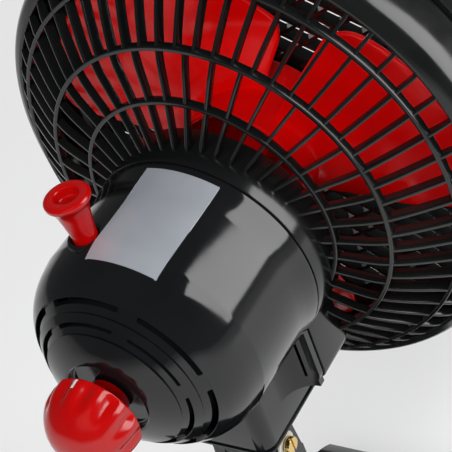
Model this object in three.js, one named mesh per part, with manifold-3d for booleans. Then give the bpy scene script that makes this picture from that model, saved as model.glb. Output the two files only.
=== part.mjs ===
// A small oscillating clip fan: a spring clamp that also stands on its own base, a tilting
// and swivelling motor head, a ribbed rear guard, a front grille and a three-bladed impeller.
// Millimetres, +Z up, the fan blows toward -Y. The origin is on the table, below the middle.
import * as THREE from 'three';
import { mergeVertices } from 'three/addons/utils/BufferGeometryUtils.js';
import Module from 'manifold-3d';

const wasm = await Module();
wasm.setup();

// ---------------------------------------------------------------- driving dimensions
const FIT_GAP = 0.3;            // clearance between pieces that touch
const RUN_GAP = 0.8;            // clearance between pieces that move past each other

const TILT_HEIGHT = 128;        // tilt axis above the table
const TILT_TO_FAN_AXIS = 95;    // fan axis above the tilt axis
const TILT_TO_GUARD = 44;       // widest ring of the rear guard in front of the tilt axis

const RING_A_RADIUS = 88;       // outer ring of the rear guard
const RING_B_RADIUS = 68;       // middle ring
const RING_C_RADIUS = 49.5;     // inner ring
const RING_B_RISE = 13.1;       // middle ring behind the outer ring
const RING_C_RISE = 18.9;
const LATTICE_INNER_RADIUS = 27;
const LATTICE_INNER_RISE = 26;
const RING_WIDTH = 2.6;
const RIB_WIDTH = 1.7;
const GUARD_DEPTH = 3.4;        // front-to-back depth of ribs and rings
const INNER_RIBS = 40;
const OUTER_RIBS = 60;
const RIM_RADIUS = 102;
const RIM_REAR = -9;            // where the outer ribs end on the rim
const RIM_SHOULDER = -18;
const RIM_FRONT = -29;          // front edge of the rear guard's rim
const RIM_WALL = 2.2;
const RIM_FACETS = 40;          // the rim and the grille's skirt share these, so their gap is even

const HUB_RADIUS = 45;          // motor seat at the middle of the rear guard
const HUB_WALL = 2.6;
const HUB_FLOOR_FRONT = 11;
const HUB_FLOOR = 3;
const HUB_BACK = 29.7;
const HUB_TAIL_HALF_WIDTH = 34;
const HUB_TAIL_DROP = 70;       // lowest edge of the seat below the fan axis

const HOUSING_DROP = 12.2;      // housing axis below the fan axis
const HOUSING_RADIUS = 43.5;
const HOUSING_WALL = 2.4;
const HOUSING_BACK = 99;        // rear face behind the outer ring
const DOME_FRONT = 69;          // where the barrel turns into the dome
const WELL_RADIUS = 15.2;
const WELL_DEPTH = 3;
const NECK_HALF_WIDTH = 21;
const NECK_BACK = 60;
const NECK_BOTTOM = 84;         // below the fan axis
const NECK_CORNER = 6;

const VENT_BAND_RADII = [35.6, 31.7, 29.3, 26.0];
const VENT_SLOTS = 6;
const VENT_GAP_DEG = 12;
const VENT_START_DEG = 114;     // middle of the first bridge between slots

const IMPELLER_RADIUS = 87;
const BLADES = 3;
const BLADE_SPAN_DEG = 103;
const BLADE_START_DEG = 40.5;   // rear edge of the first blade
const BLADE_CORNER = 0.12;      // share of the span in each rounded corner
const BLADE_REAR = -10;
const BLADE_FRONT = -37;
const BLADE_THICKNESS = 1.6;
const IMPELLER_HUB_RADIUS = 26;
const IMPELLER_HUB_FRONT = -41.8;
const IMPELLER_HUB_WALL = 2.2;

const GRILLE_FACE = -47;        // front face of the front grille
const NET_HALF_WIDTH = 12.5;     // half the diagonals of one mesh of the net
const NET_HALF_HEIGHT = 6.7;
const NET_BAR_WIDTH = 1.8;
const NET_SMALLEST = 14;         // smaller leftovers at the edges are closed
const GRILLE_DEPTH = 4.2;
const GRILLE_BADGE_RADIUS = 24;
const GRILLE_SKIRT_WALL = 2;
const GRILLE_FACE_RADIUS = 94;

const SHAFT_RADIUS = 3;
const SHAFT_FRONT = -40;
const SHAFT_BACK = 74;
const WORM_FRONT = 61;
const WORM_BACK = 72;
const WORM_RADIUS = 3.6;
const ROTOR_RADIUS = 13.4;
const STATOR_FRONT = 30;
const STATOR_BACK = 48;
const STATOR_HALF = 22.5;
const STATOR_BORE = 14;
const COIL_X = 17.6;
const BEARING_RADIUS = 7;
const BEARING_LENGTH = 6;
const FRONT_BEARING = 16;

const SPINDLE_X = 11.6;         // vertical clutch spindle beside the worm
const SPINDLE_Y = 66.5;
const SPINDLE_RADIUS = 2;
const GEAR_RADIUS = 7.6;
const GEAR_TEETH = 24;
const GEAR_HEIGHT = 5;
const CRANK_TOP = -34;
const CRANK_RADIUS = 9.5;
const CRANK_THROW = 7.2;
const CRANK_PIN_DEPTH = 5;      // the pin's tip below the crank's top
const LINK_THICKNESS = 2;
const LINK_EYE = 4.2;
const ANCHOR_ARM = 12;          // the link's fixed pivot from the swivel axis

const PULL_KNOB_TOP = 48.6;     // above the fan axis
const PULL_KNOB_COLLAR = 8.4;
const PULL_KNOB_STEM = 4.4;
const PULL_TRAVEL = 5;

const SPEED_KNOB_RADIUS = 16.8;
const SPEED_KNOB_BASE = HOUSING_BACK + 5.4;
const SPEED_KNOB_TIP = SPEED_KNOB_BASE + 19.1;
const SPEED_KNOB_FLUTES = 12;

const PIVOT_POST_RADIUS = 7;
const SWIVEL_DISC_RADIUS = 15;
const SWIVEL_DISC_THICKNESS = 2;
const POST_RISE = HOUSING_WALL + 1.2;   // swivel post above its disc
const BLOCK_HALF_WIDTH = 8.4;
const EAR_THICKNESS = 5.2;
const EAR_RADIUS = 8.4;
const TILT_PIN_RADIUS = 2.6;

const BASE_WIDTH = 96;
const BASE_FRONT = 80;          // jaw tip in front of the tilt axis
const BASE_REAR = 72;
const BASE_CORNER = 16;
const BASE_HEIGHT = 11;
const BASE_WALL = 2.6;
const FOOT_HEIGHT = 2;
const FOOT_RADIUS = 7;
const CLAMP_PIVOT_Y = 30;
const CLAMP_PIVOT_Z = 36;
const CLAMP_PIN_RADIUS = 3;
const CHEEK_THICKNESS = 4;
const CHEEK_INNER = 37;         // inner face of each cheek from the middle
const JAW_HALF_WIDTH = 34;
const JAW_WALL = 2.6;
const PAD_THICKNESS = 3;
const PAD_LENGTH = 30;
const POST_BASE_Z = 62;

const SPRING_WIRE = 2.2;
const SPRING_RADIUS = 8;
const SPRING_TURNS = 6;
const SPRING_PITCH = 3.2;
const SPRING_STEPS = 8;         // steps in one turn
const SPRING_SIDES = 5;
const SPRING_START_DEG = 30;    // the lower leg leaves the coil here
const SPRING_EXTRA_DEG = -50;   // turn left over between the two legs
const SPRING_BASE_LEG = 30.2;
const SPRING_LEVER_LEG = 26.6;

// ---------------------------------------------------------------- colours
const BLACK = { color: 0x101112, roughness: 0.22, metalness: 0 };
const BLACK_SATIN = { color: 0x17181a, roughness: 0.45, metalness: 0 };
const RED = { color: 0xc40505, roughness: 0.25, metalness: 0 };
const STEEL = { color: 0x9a9ca0, roughness: 0.35, metalness: 1 };
const IRON = { color: 0x55575b, roughness: 0.5, metalness: 1 };
const COPPER = { color: 0xa8572a, roughness: 0.4, metalness: 1 };
const BRASS = { color: 0xb08a3a, roughness: 0.3, metalness: 1 };
const RUBBER = { color: 0x1b1b1b, roughness: 0.85, metalness: 0 };
const NYLON = { color: 0xd8d6cc, roughness: 0.5, metalness: 0 };

// ---------------------------------------------------------------- small helpers
const TAU = Math.PI * 2;
const SLIVER = 0.02;            // facets flatter than this are merged
const rad = (degrees) => degrees * Math.PI / 180;

function clean(geometry) {
  const bare = geometry.clone();
  bare.deleteAttribute('normal');
  bare.deleteAttribute('uv');
  const merged = mergeVertices(bare, 1e-4);
  const kept = [];
  const index = merged.index.array;
  for (let i = 0; i < index.length; i += 3) {
    const [a, b, c] = [index[i], index[i + 1], index[i + 2]];
    if (a !== b && b !== c && c !== a) kept.push(a, b, c);
  }
  merged.setIndex(kept);
  return merged;
}

function toSolid(geometry) {
  const merged = clean(geometry);
  return new wasm.Manifold(new wasm.Mesh({
    numProp: 3,
    vertProperties: new Float32Array(merged.attributes.position.array),
    triVerts: new Uint32Array(merged.index.array),
  }));
}

function fromSolid(solid) {
  const mesh = solid.simplify(SLIVER).getMesh();
  const geometry = new THREE.BufferGeometry();
  geometry.setAttribute('position', new THREE.BufferAttribute(mesh.vertProperties, 3));
  geometry.setIndex(new THREE.BufferAttribute(mesh.triVerts, 1));
  return geometry;
}

function join(...geometries) {
  return fromSolid(geometries.map(toSolid).reduce((sum, next) => sum.add(next)));
}

function cut(geometry, ...tools) {
  return fromSolid(tools.map(toSolid).reduce((rest, tool) => rest.subtract(tool), toSolid(geometry)));
}

function node(name, geometry, look) {
  const shown = clean(geometry);
  shown.computeVertexNormals();
  const mesh = new THREE.Mesh(shown, new THREE.MeshStandardMaterial(look));
  mesh.name = name;
  return mesh;
}

function block(x0, x1, y0, y1, z0, z1) {
  const shape = new THREE.BoxGeometry(x1 - x0, y1 - y0, z1 - z0);
  return shape.translate((x0 + x1) / 2, (y0 + y1) / 2, (z0 + z1) / 2);
}

function roundedRect(width, height, radius, steps = 5) {
  const w = width / 2 - radius;
  const h = height / 2 - radius;
  const shape = new THREE.Shape();
  const corners = [[w, h, 0], [-w, h, 1], [-w, -h, 2], [w, -h, 3]];
  const points = [];
  for (const [x, y, quarter] of corners) {
    for (let i = 0; i <= steps; i += 1) {
      const angle = (quarter + i / steps) * Math.PI / 2;
      points.push(new THREE.Vector2(x + radius * Math.cos(angle), y + radius * Math.sin(angle)));
    }
  }
  shape.setFromPoints(points);
  return shape;
}

const extrude = (shape, depth) => new THREE.ExtrudeGeometry(shape, {
  depth, bevelEnabled: false, curveSegments: 6,
});

// Extrudes a shape drawn in (x, z) along Y, from y0 to y1.
function extrudeY(shape, y0, y1) {
  return extrude(shape, y1 - y0).rotateX(Math.PI / 2).translate(0, y1, 0);
}

// Extrudes a shape drawn in (y, z) along X, from x0 to x1.
function extrudeX(shape, x0, x1) {
  return extrude(shape, x1 - x0).rotateX(Math.PI / 2).rotateZ(Math.PI / 2).translate(x0, 0, 0);
}

// Revolves [radius, along] pairs about the Y axis.
function turned(profile, segments = 32) {
  let area = 0;
  profile.forEach(([r0, y0], i) => {
    const [r1, y1] = profile[(i + 1) % profile.length];
    area += r0 * y1 - r1 * y0;
  });
  const ordered = area > 0 ? profile : [...profile].reverse();
  return new THREE.LatheGeometry(ordered.map(([r, along]) => new THREE.Vector2(r, along)), segments);
}

// Revolves [radius, height] pairs about a vertical axis.
const turnedUpright = (profile, segments = 32) => turned(profile, segments).rotateX(Math.PI / 2);

function rodX(radius, x0, x1, y, z, segments = 16) {
  return turned([[0, x0], [radius, x0], [radius, x1], [0, x1]], segments)
    .rotateZ(-Math.PI / 2).translate(0, y, z);
}

function rodY(radius, y0, y1, x = 0, z = 0, segments = 16) {
  return turned([[0, y0], [radius, y0], [radius, y1], [0, y1]], segments).translate(x, 0, z);
}

function rodZ(radius, z0, z1, x, y, segments = 16) {
  return turnedUpright([[0, z0], [radius, z0], [radius, z1], [0, z1]], segments).translate(x, y, 0);
}

// ---------------------------------------------------------------- guards
// A guard starts as a flat disc pierced by windows. Each flat point has a distance along the
// guard's section, and the section then says where that point lies front to back.
function wrapLattice(outline, windows, placeOuter, placeInner) {
  const shape = new THREE.Shape(outline);
  for (const window of windows) shape.holes.push(new THREE.Path(window));
  const flat = extrude(shape, 1);
  const position = flat.attributes.position;
  for (let i = 0; i < position.count; i += 1) {
    const x = position.getX(i);
    const y = position.getY(i);
    const along = Math.hypot(x, y);
    const [radius, depth] = position.getZ(i) > 0.5 ? placeOuter(along) : placeInner(along);
    // flat (x, y) becomes (x, z); the +Z side of the flat disc becomes the rear (+Y) side
    position.setXYZ(i, -x / along * radius, depth, y / along * radius);
  }
  return flat;
}

function circlePoints(radius, count, phase = 0) {
  return Array.from({ length: count }, (_, i) => {
    const angle = phase + i / count * TAU;
    return new THREE.Vector2(radius * Math.cos(angle), radius * Math.sin(angle));
  });
}

// A window between two rings and two ribs, its sides parallel to the ribs.
function ribWindow(middleA, middleB, radii, ribWidth) {
  const corner = (r, angle) => new THREE.Vector2(r * Math.cos(angle), r * Math.sin(angle));
  const left = radii.map((r) => corner(r, middleA + ribWidth / 2 / r));
  const right = radii.map((r) => corner(r, middleB - ribWidth / 2 / r));
  return [...left.reverse(), ...right];
}

// Straight pieces between listed [along, radius, depth] stations.
function sectionCurve(stations) {
  return (along) => {
    let i = 1;
    while (i < stations.length - 1 && stations[i][0] < along) i += 1;
    const [s0, r0, d0] = stations[i - 1];
    const [s1, r1, d1] = stations[i];
    const t = (along - s0) / (s1 - s0);
    return [r0 + (r1 - r0) * t, d0 + (d1 - d0) * t];
  };
}

const RIB_REACH = 13;           // the outer ribs run this far along the section past ring A
const RIB_EMBED = 1.6;          // and this much further inside the rim's wall
const RIB_END_DEPTH = 1.5;      // rib thickness where it meets the rim
const rearSection = [
  [LATTICE_INNER_RADIUS, LATTICE_INNER_RADIUS, LATTICE_INNER_RISE],
  [RING_C_RADIUS, RING_C_RADIUS, RING_C_RISE],
  [RING_B_RADIUS, RING_B_RADIUS, RING_B_RISE],
  [RING_A_RADIUS - RING_WIDTH / 2, RING_A_RADIUS - RING_WIDTH / 2, 1.4],
  [RING_A_RADIUS + RING_WIDTH / 2, RING_A_RADIUS + RING_WIDTH / 2, -1.2],
  [RING_A_RADIUS + RIB_REACH, RING_A_RADIUS + 9.6, RIM_REAR],
  [RING_A_RADIUS + RIB_REACH + RIB_EMBED, RING_A_RADIUS + 9.5, RIM_REAR - 1.6],
];

function rearLattice() {
  const windows = [];
  const half = RING_WIDTH / 2;
  const inner = TAU / INNER_RIBS;
  const outer = TAU / OUTER_RIBS;
  for (let i = 0; i < INNER_RIBS; i += 1) {
    const from = i * inner;
    const to = (i + 1) * inner;
    windows.push(ribWindow(from, to, [LATTICE_INNER_RADIUS + 3, RING_C_RADIUS - half], RIB_WIDTH));
    windows.push(ribWindow(from, to, [RING_C_RADIUS + half, RING_B_RADIUS - half], RIB_WIDTH));
  }
  for (let i = 0; i < OUTER_RIBS; i += 1) {
    const from = i * outer;
    const to = (i + 1) * outer;
    windows.push(ribWindow(from, to, [RING_B_RADIUS + half, RING_A_RADIUS - half], RIB_WIDTH));
    windows.push(ribWindow(from, to, [RING_A_RADIUS + half, RING_A_RADIUS + RIB_REACH], RIB_WIDTH));
  }
  const outline = circlePoints(RING_A_RADIUS + RIB_REACH + RIB_EMBED, OUTER_RIBS);
  const place = sectionCurve(rearSection);
  // ribs keep their depth in the flat part; round the shoulder the wall turns inward
  const placeInner = (along) => {
    const [radius, depth] = place(along);
    const round = THREE.MathUtils.smoothstep(along, RING_A_RADIUS - 4, RING_A_RADIUS + 16);
    return [radius - RIB_END_DEPTH * round, depth - GUARD_DEPTH * (1 - round)];
  };
  windows.push(circlePoints(LATTICE_INNER_RADIUS, INNER_RIBS));
  return wrapLattice(outline, windows, place, placeInner);
}

// The rim behind the outer ribs: a turned band down to the front edge.
function rimBand() {
  const rear = RIM_REAR + 0.8;
  return turned([
    [RING_A_RADIUS + 10, rear], [RIM_RADIUS - 1, RIM_SHOULDER], [RIM_RADIUS, RIM_SHOULDER - 5],
    [RIM_RADIUS, RIM_FRONT], [RIM_RADIUS - RIM_WALL, RIM_FRONT],
    [RIM_RADIUS - RIM_WALL, RIM_SHOULDER - 5], [RIM_RADIUS - 1 - RIM_WALL, RIM_SHOULDER],
    [RING_A_RADIUS + 6.6, rear], [RING_A_RADIUS + 10, rear],
  ], RIM_FACETS);
}

// The motor seat's outline: round above, narrowing to a square-ended tail below.
function seatOutline(offset) {
  const radius = HUB_RADIUS + offset;
  const half = HUB_TAIL_HALF_WIDTH + offset;
  const bottom = -(HUB_TAIL_DROP + offset);
  const cornerRadius = 6;
  const start = -Math.acos(half / radius);
  const points = [];
  const arcSteps = 26;
  for (let i = 0; i <= arcSteps; i += 1) {
    const angle = start + (Math.PI - 2 * start) * i / arcSteps;
    points.push(new THREE.Vector2(radius * Math.cos(angle), radius * Math.sin(angle) - HOUSING_DROP));
  }
  for (const side of [-1, 1]) {
    for (let i = 0; i <= 4; i += 1) {
      const t = side < 0 ? i / 4 : 1 - i / 4;
      const angle = t * Math.PI / 2;
      points.push(new THREE.Vector2(
        side * (half - cornerRadius + cornerRadius * Math.cos(angle)),
        bottom + cornerRadius - cornerRadius * Math.sin(angle)));
    }
  }
  return new THREE.Shape(points);
}

function rearGuard() {
  const seat = extrudeY(seatOutline(0), HUB_FLOOR_FRONT, HUB_BACK);
  const hollow = extrudeY(seatOutline(-HUB_WALL), HUB_FLOOR_FRONT + HUB_FLOOR, HUB_BACK + 1);
  const inside = extrudeY(seatOutline(-HUB_WALL / 2), HUB_FLOOR_FRONT + 1, HUB_BACK + 1);
  const shaftHole = rodY(BEARING_RADIUS + 2, HUB_FLOOR_FRONT - 1, HUB_FLOOR_FRONT + HUB_FLOOR + 1);
  const bosses = [-1, 1].map((side) => rodY(3.6, HUB_FLOOR_FRONT + HUB_FLOOR - 1,
    FRONT_BEARING + BEARING_LENGTH - 2 - FIT_GAP, 0, side * (STATOR_HALF - 4), 16));
  const lattice = toSolid(rearLattice()).add(toSolid(rimBand())).subtract(toSolid(inside));
  const cup = toSolid(seat).subtract(toSolid(hollow)).subtract(toSolid(shaftHole));
  return fromSolid(bosses.reduce((sum, boss) => sum.add(toSolid(boss)), lattice.add(cup)));
}

const grilleSection = [
  [GRILLE_BADGE_RADIUS - 12, GRILLE_BADGE_RADIUS - 12, GRILLE_FACE],
  [GRILLE_BADGE_RADIUS, GRILLE_BADGE_RADIUS, GRILLE_FACE],
  [GRILLE_FACE_RADIUS - 20, GRILLE_FACE_RADIUS - 20, GRILLE_FACE + 1.5],
  [GRILLE_FACE_RADIUS, GRILLE_FACE_RADIUS, GRILLE_FACE + 5],
];

// The meshes of a net of crossing bars, cut off round the badge and at the outer edge.
function netWindows() {
  const slope = Math.hypot(NET_HALF_WIDTH, NET_HALF_HEIGHT);
  const across = NET_HALF_WIDTH - NET_BAR_WIDTH / 2 * slope / NET_HALF_HEIGHT;
  const up = NET_HALF_HEIGHT - NET_BAR_WIDTH / 2 * slope / NET_HALF_WIDTH;
  const rows = Math.ceil(GRILLE_FACE_RADIUS / NET_HALF_HEIGHT);
  const columns = Math.ceil(GRILLE_FACE_RADIUS / NET_HALF_WIDTH);
  const meshes = [];
  for (let row = -rows; row <= rows; row += 1) {
    for (let column = -columns; column <= columns; column += 1) {
      if ((row + column) % 2 === 0) {
        const x = column * NET_HALF_WIDTH;
        const y = row * NET_HALF_HEIGHT;
        meshes.push([[x - across, y], [x, y - up], [x + across, y], [x, y + up]]);
      }
    }
  }
  const field = wasm.CrossSection.circle(GRILLE_FACE_RADIUS - 2, RIM_FACETS)
    .subtract(wasm.CrossSection.circle(GRILLE_BADGE_RADIUS + NET_BAR_WIDTH, 24));
  return new wasm.CrossSection(meshes).intersect(field).decompose()
    .filter((mesh) => mesh.area() > NET_SMALLEST)
    .map((mesh) => mesh.toPolygons()[0].map(([x, y]) => new THREE.Vector2(x, y)));
}

function frontGrille() {
  const place = sectionCurve(grilleSection);
  const outline = circlePoints(GRILLE_FACE_RADIUS, 40);
  const front = wrapLattice(outline, netWindows(),
    (along) => [place(along)[0], place(along)[1] + GRILLE_DEPTH],
    place);
  const reach = RIM_RADIUS - FIT_GAP;
  const skirt = turned([
    [GRILLE_FACE_RADIUS - 1.5, GRILLE_FACE + 4.2],
    [GRILLE_FACE_RADIUS + 2, GRILLE_FACE + 5.6],
    [RIM_RADIUS - 1, RIM_FRONT - 10],
    [RIM_RADIUS + 1.4, RIM_FRONT - 5],
    [RIM_RADIUS + 1.4, RIM_FRONT - FIT_GAP],
    [reach - RIM_WALL, RIM_FRONT - FIT_GAP],
    [reach - RIM_WALL, RIM_FRONT + 4],
    [reach - RIM_WALL - GRILLE_SKIRT_WALL, RIM_FRONT + 4],
    [reach - RIM_WALL - GRILLE_SKIRT_WALL, RIM_FRONT - 6],
    [GRILLE_FACE_RADIUS - 1.5, GRILLE_FACE + 7.4],
    [GRILLE_FACE_RADIUS - 1.5, GRILLE_FACE + 4.2],
  ], RIM_FACETS);
  return join(front, skirt);
}

// ---------------------------------------------------------------- impeller
function bladeGeometry(startDeg) {
  const spanSteps = 9;
  const radialSteps = 3;
  const rootRadius = IMPELLER_HUB_RADIUS - 1;
  const positions = [];
  const index = [];
  const at = (layer, i, j) => layer * (spanSteps + 1) * (radialSteps + 1) + i * (radialSteps + 1) + j;
  for (const layer of [0, 1]) {
    for (let i = 0; i <= spanSteps; i += 1) {
      const u = 0.5 - 0.5 * Math.cos(Math.PI * i / spanSteps);
      const nearEdge = Math.min(1, Math.min(u, 1 - u) / BLADE_CORNER);
      for (let j = 0; j <= radialSteps; j += 1) {
        const v = j / radialSteps;
        const edge = Math.sqrt(1 - (1 - nearEdge) ** 2);
        const tip = rootRadius + (IMPELLER_RADIUS - rootRadius) * (0.80 + 0.20 * edge);
        const radius = rootRadius + (tip - rootRadius) * v;
        const spread = Math.min(1, 0.78 + 0.3 * v);
        const angle = rad(startDeg + BLADE_SPAN_DEG * (0.5 + (u - 0.5) * spread));
        const camber = 3 * Math.sin(Math.PI * u);
        const drop = 0.5 + (u - 0.5) * (0.72 + 0.28 * v);
        const depth = BLADE_REAR + (BLADE_FRONT - BLADE_REAR) * drop + camber + layer * BLADE_THICKNESS;
        positions.push(-radius * Math.sin(angle), depth, radius * Math.cos(angle));
      }
    }
  }
  const quad = (a, b, c, d) => index.push(a, c, b, a, d, c);
  for (let i = 0; i < spanSteps; i += 1) {
    for (let j = 0; j < radialSteps; j += 1) {
      quad(at(0, i, j), at(0, i + 1, j), at(0, i + 1, j + 1), at(0, i, j + 1));
      quad(at(1, i, j), at(1, i, j + 1), at(1, i + 1, j + 1), at(1, i + 1, j));
    }
    quad(at(0, i, 0), at(1, i, 0), at(1, i + 1, 0), at(0, i + 1, 0));
    quad(at(0, i, radialSteps), at(0, i + 1, radialSteps), at(1, i + 1, radialSteps),
      at(1, i, radialSteps));
  }
  for (let j = 0; j < radialSteps; j += 1) {
    quad(at(0, 0, j), at(0, 0, j + 1), at(1, 0, j + 1), at(1, 0, j));
    quad(at(0, spanSteps, j), at(1, spanSteps, j), at(1, spanSteps, j + 1), at(0, spanSteps, j + 1));
  }
  const blade = new THREE.BufferGeometry();
  blade.setAttribute('position', new THREE.BufferAttribute(new Float32Array(positions), 3));
  blade.setIndex(index);
  return blade;
}

function impeller() {
  const r = IMPELLER_HUB_RADIUS;
  const front = IMPELLER_HUB_FRONT;
  const hub = turned([
    [SHAFT_RADIUS + FIT_GAP, front],
    [r - 4, front], [r, front + 4], [r, BLADE_REAR + 5],
    [r - IMPELLER_HUB_WALL, BLADE_REAR + 5], [r - IMPELLER_HUB_WALL, front + 6],
    [r - 5, front + 3.4], [SHAFT_RADIUS + 4, front + 3.4],
    [SHAFT_RADIUS + 3.4, BLADE_REAR + 3], [SHAFT_RADIUS + FIT_GAP, BLADE_REAR + 3],
    [SHAFT_RADIUS + FIT_GAP, front],
  ], 20);
  const rim = toSolid(hub);
  const bore = toSolid(rodY(r - IMPELLER_HUB_WALL / 2, front - 5, BLADE_REAR + 9, 0, 0, 20));
  let all = rim;
  for (let i = 0; i < BLADES; i += 1) {
    all = all.add(toSolid(bladeGeometry(BLADE_START_DEG + i * 360 / BLADES)).subtract(bore));
  }
  return fromSolid(all);
}

// ---------------------------------------------------------------- motor and gearing
function shaft() {
  const worm = [];
  const threads = 3;
  for (let i = 0; i < threads; i += 1) {
    const start = WORM_FRONT + i * (WORM_BACK - WORM_FRONT) / threads;
    const pitch = (WORM_BACK - WORM_FRONT) / threads;
    worm.push([WORM_RADIUS - 1.4, start], [WORM_RADIUS, start + pitch * 0.3],
      [WORM_RADIUS, start + pitch * 0.6], [WORM_RADIUS - 1.4, start + pitch * 0.9]);
  }
  return turned([
    [0, SHAFT_FRONT], [SHAFT_RADIUS, SHAFT_FRONT], [SHAFT_RADIUS, WORM_FRONT - 2],
    ...worm, [SHAFT_RADIUS - 0.8, SHAFT_BACK], [0, SHAFT_BACK],
  ], 12);
}

function rotor() {
  const bore = SHAFT_RADIUS + FIT_GAP;
  const bar = turned([
    [bore, STATOR_FRONT - 2], [ROTOR_RADIUS - 2, STATOR_FRONT - 2], [ROTOR_RADIUS, STATOR_FRONT],
    [ROTOR_RADIUS, STATOR_BACK], [ROTOR_RADIUS - 2, STATOR_BACK + 2], [bore, STATOR_BACK + 2],
    [bore, STATOR_FRONT - 2],
  ], 20);
  return bar;
}

function stator() {
  const plate = roundedRect(STATOR_HALF * 2, STATOR_HALF * 2, 6, 3);
  const bore = new THREE.Path(circlePoints(STATOR_BORE, 32));
  plate.holes.push(bore);
  for (const side of [-1, 1]) {
    const slot = [[COIL_X - 2.1, 7], [COIL_X + 2.1, 7], [COIL_X + 2.1, -7], [COIL_X - 2.1, -7]]
      .map(([x, z]) => new THREE.Vector2(side * x, z));
    plate.holes.push(new THREE.Path(side > 0 ? slot : slot.reverse()));
  }
  return extrudeY(plate, STATOR_FRONT, STATOR_BACK);
}

// One side of the winding: it fills its slot and swells past both faces of the stack.
function coil(side) {
  const half = 2.1 - FIT_GAP;
  const middle = (STATOR_FRONT + STATOR_BACK) / 2;
  const overhang = 4;
  const length = STATOR_BACK - STATOR_FRONT + 2 * overhang;
  const limb = extrude(roundedRect(2 * half, length, 1.4, 3), 13.2).translate(side * COIL_X, middle, -6.6);
  return limb;
}

function bearing(at) {
  const bore = SHAFT_RADIUS + FIT_GAP;
  return turned([
    [bore, at], [BEARING_RADIUS, at], [BEARING_RADIUS, at + BEARING_LENGTH],
    [bore, at + BEARING_LENGTH], [bore, at],
  ], 20);
}

// A pressed strap across the motor with a cup for its bearing.
function bracket(bearingAt, stackFace, direction) {
  const wall = 2;
  const cupFrom = Math.min(bearingAt, bearingAt + BEARING_LENGTH);
  const cup = rodY(BEARING_RADIUS + FIT_GAP + wall, cupFrom, cupFrom + BEARING_LENGTH);
  const plateFrom = direction > 0 ? cupFrom : cupFrom + BEARING_LENGTH - wall;
  const plate = extrudeY(roundedRect(16, 2 * STATOR_HALF, 3, 3), plateFrom, plateFrom + wall);
  const legs = [-1, 1].map((side) => {
    const z = side * (STATOR_HALF - 4);
    const reach = stackFace + direction * FIT_GAP;
    return block(-5, 5, Math.min(reach, plateFrom + wall / 2), Math.max(reach, plateFrom + wall / 2),
      z - 3, z + 3);
  });
  const bore = rodY(BEARING_RADIUS + FIT_GAP, cupFrom - 1, cupFrom + BEARING_LENGTH + 1);
  return cut(join(cup, plate, ...legs), bore);
}

const GEAR_TOP = GEAR_HEIGHT / 2;
const SPINDLE_BACK = SPINDLE_Y - TILT_TO_GUARD;

// Link and crank seen from above, from the swivel axis: the anchor stands at a right angle to
// the spindle's direction, and the crank pin at a right angle to the line between them.
const anchor = new THREE.Vector2(-SPINDLE_BACK, SPINDLE_X).setLength(ANCHOR_ARM);
const spindleAt = new THREE.Vector2(SPINDLE_X, SPINDLE_BACK);
const toSpindle = spindleAt.clone().sub(anchor).normalize();
const crankPin = spindleAt.clone().add(new THREE.Vector2(toSpindle.y, -toSpindle.x)
  .multiplyScalar(CRANK_THROW));

function spindle() {
  const teeth = [];
  for (let i = 0; i < GEAR_TEETH * 2; i += 1) {
    const radius = i % 2 === 0 ? GEAR_RADIUS : GEAR_RADIUS - 1.3;
    const angle = i / (GEAR_TEETH * 2) * TAU;
    teeth.push(new THREE.Vector2(radius * Math.cos(angle), radius * Math.sin(angle)));
  }
  const wheel = extrude(new THREE.Shape(teeth), GEAR_HEIGHT).translate(0, 0, -GEAR_HEIGHT / 2);
  const rod = turnedUpright([
    [0, CRANK_TOP - 2], [SPINDLE_RADIUS, CRANK_TOP - 2], [SPINDLE_RADIUS, GEAR_TOP + 12],
    [0, GEAR_TOP + 12],
  ], 16);
  const crank = turnedUpright([
    [0, CRANK_TOP - 3], [CRANK_RADIUS, CRANK_TOP - 3], [CRANK_RADIUS, CRANK_TOP], [0, CRANK_TOP],
  ], 28);
  const pin = turnedUpright([
    [0, CRANK_TOP - CRANK_PIN_DEPTH], [1.6, CRANK_TOP - CRANK_PIN_DEPTH], [1.6, CRANK_TOP - 2],
    [0, CRANK_TOP - 2],
  ], 12).translate(crankPin.x - SPINDLE_X, crankPin.y - SPINDLE_BACK, 0);
  return join(wheel, rod, crank, pin);
}

const CASE_FRONT = 56.5;
const CASE_WALL = 1.8;
const REAR_BEARING = 51.5;

// The gear case holds the rear bearing in a cup and stands on the stack with two feet.
function gearCase() {
  const x0 = -10;
  const x1 = SPINDLE_X + GEAR_RADIUS + RUN_GAP + CASE_WALL;
  const y1 = SPINDLE_Y + GEAR_RADIUS + RUN_GAP + CASE_WALL;
  const half = 9;
  const shell = block(x0, x1, CASE_FRONT, y1, -half, half);
  const cup = rodY(BEARING_RADIUS + FIT_GAP + CASE_WALL, REAR_BEARING - 1, CASE_FRONT + 1);
  const ears = block(-5, 5, CASE_FRONT, CASE_FRONT + CASE_WALL, -STATOR_HALF + 2, STATOR_HALF - 2);
  const feet = [-1, 1].map((side) => {
    const z = side * (STATOR_HALF - 4);
    return block(-5, 5, STATOR_BACK + FIT_GAP, CASE_FRONT + 1, z - 2, z + 2);
  });
  const inside = block(x0 + CASE_WALL, x1 - CASE_WALL, CASE_FRONT + CASE_WALL, y1 - CASE_WALL,
    -half + CASE_WALL, half - CASE_WALL);
  const seat = rodY(BEARING_RADIUS + FIT_GAP, REAR_BEARING - 2, REAR_BEARING + BEARING_LENGTH + FIT_GAP);
  const shaftHole = rodY(WORM_RADIUS + RUN_GAP, CASE_FRONT - 1, CASE_FRONT + CASE_WALL + 1);
  const spindleHole = rodZ(SPINDLE_RADIUS + FIT_GAP, -half - 1, half + 1, SPINDLE_X, SPINDLE_Y, 16);
  const window = block(x0 - 1, x0 + CASE_WALL + 1, CASE_FRONT + 5, y1 - 5, -4, 4);
  return cut(join(shell, cup, ears, ...feet), inside, seat, shaftHole, spindleHole, window);
}

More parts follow.
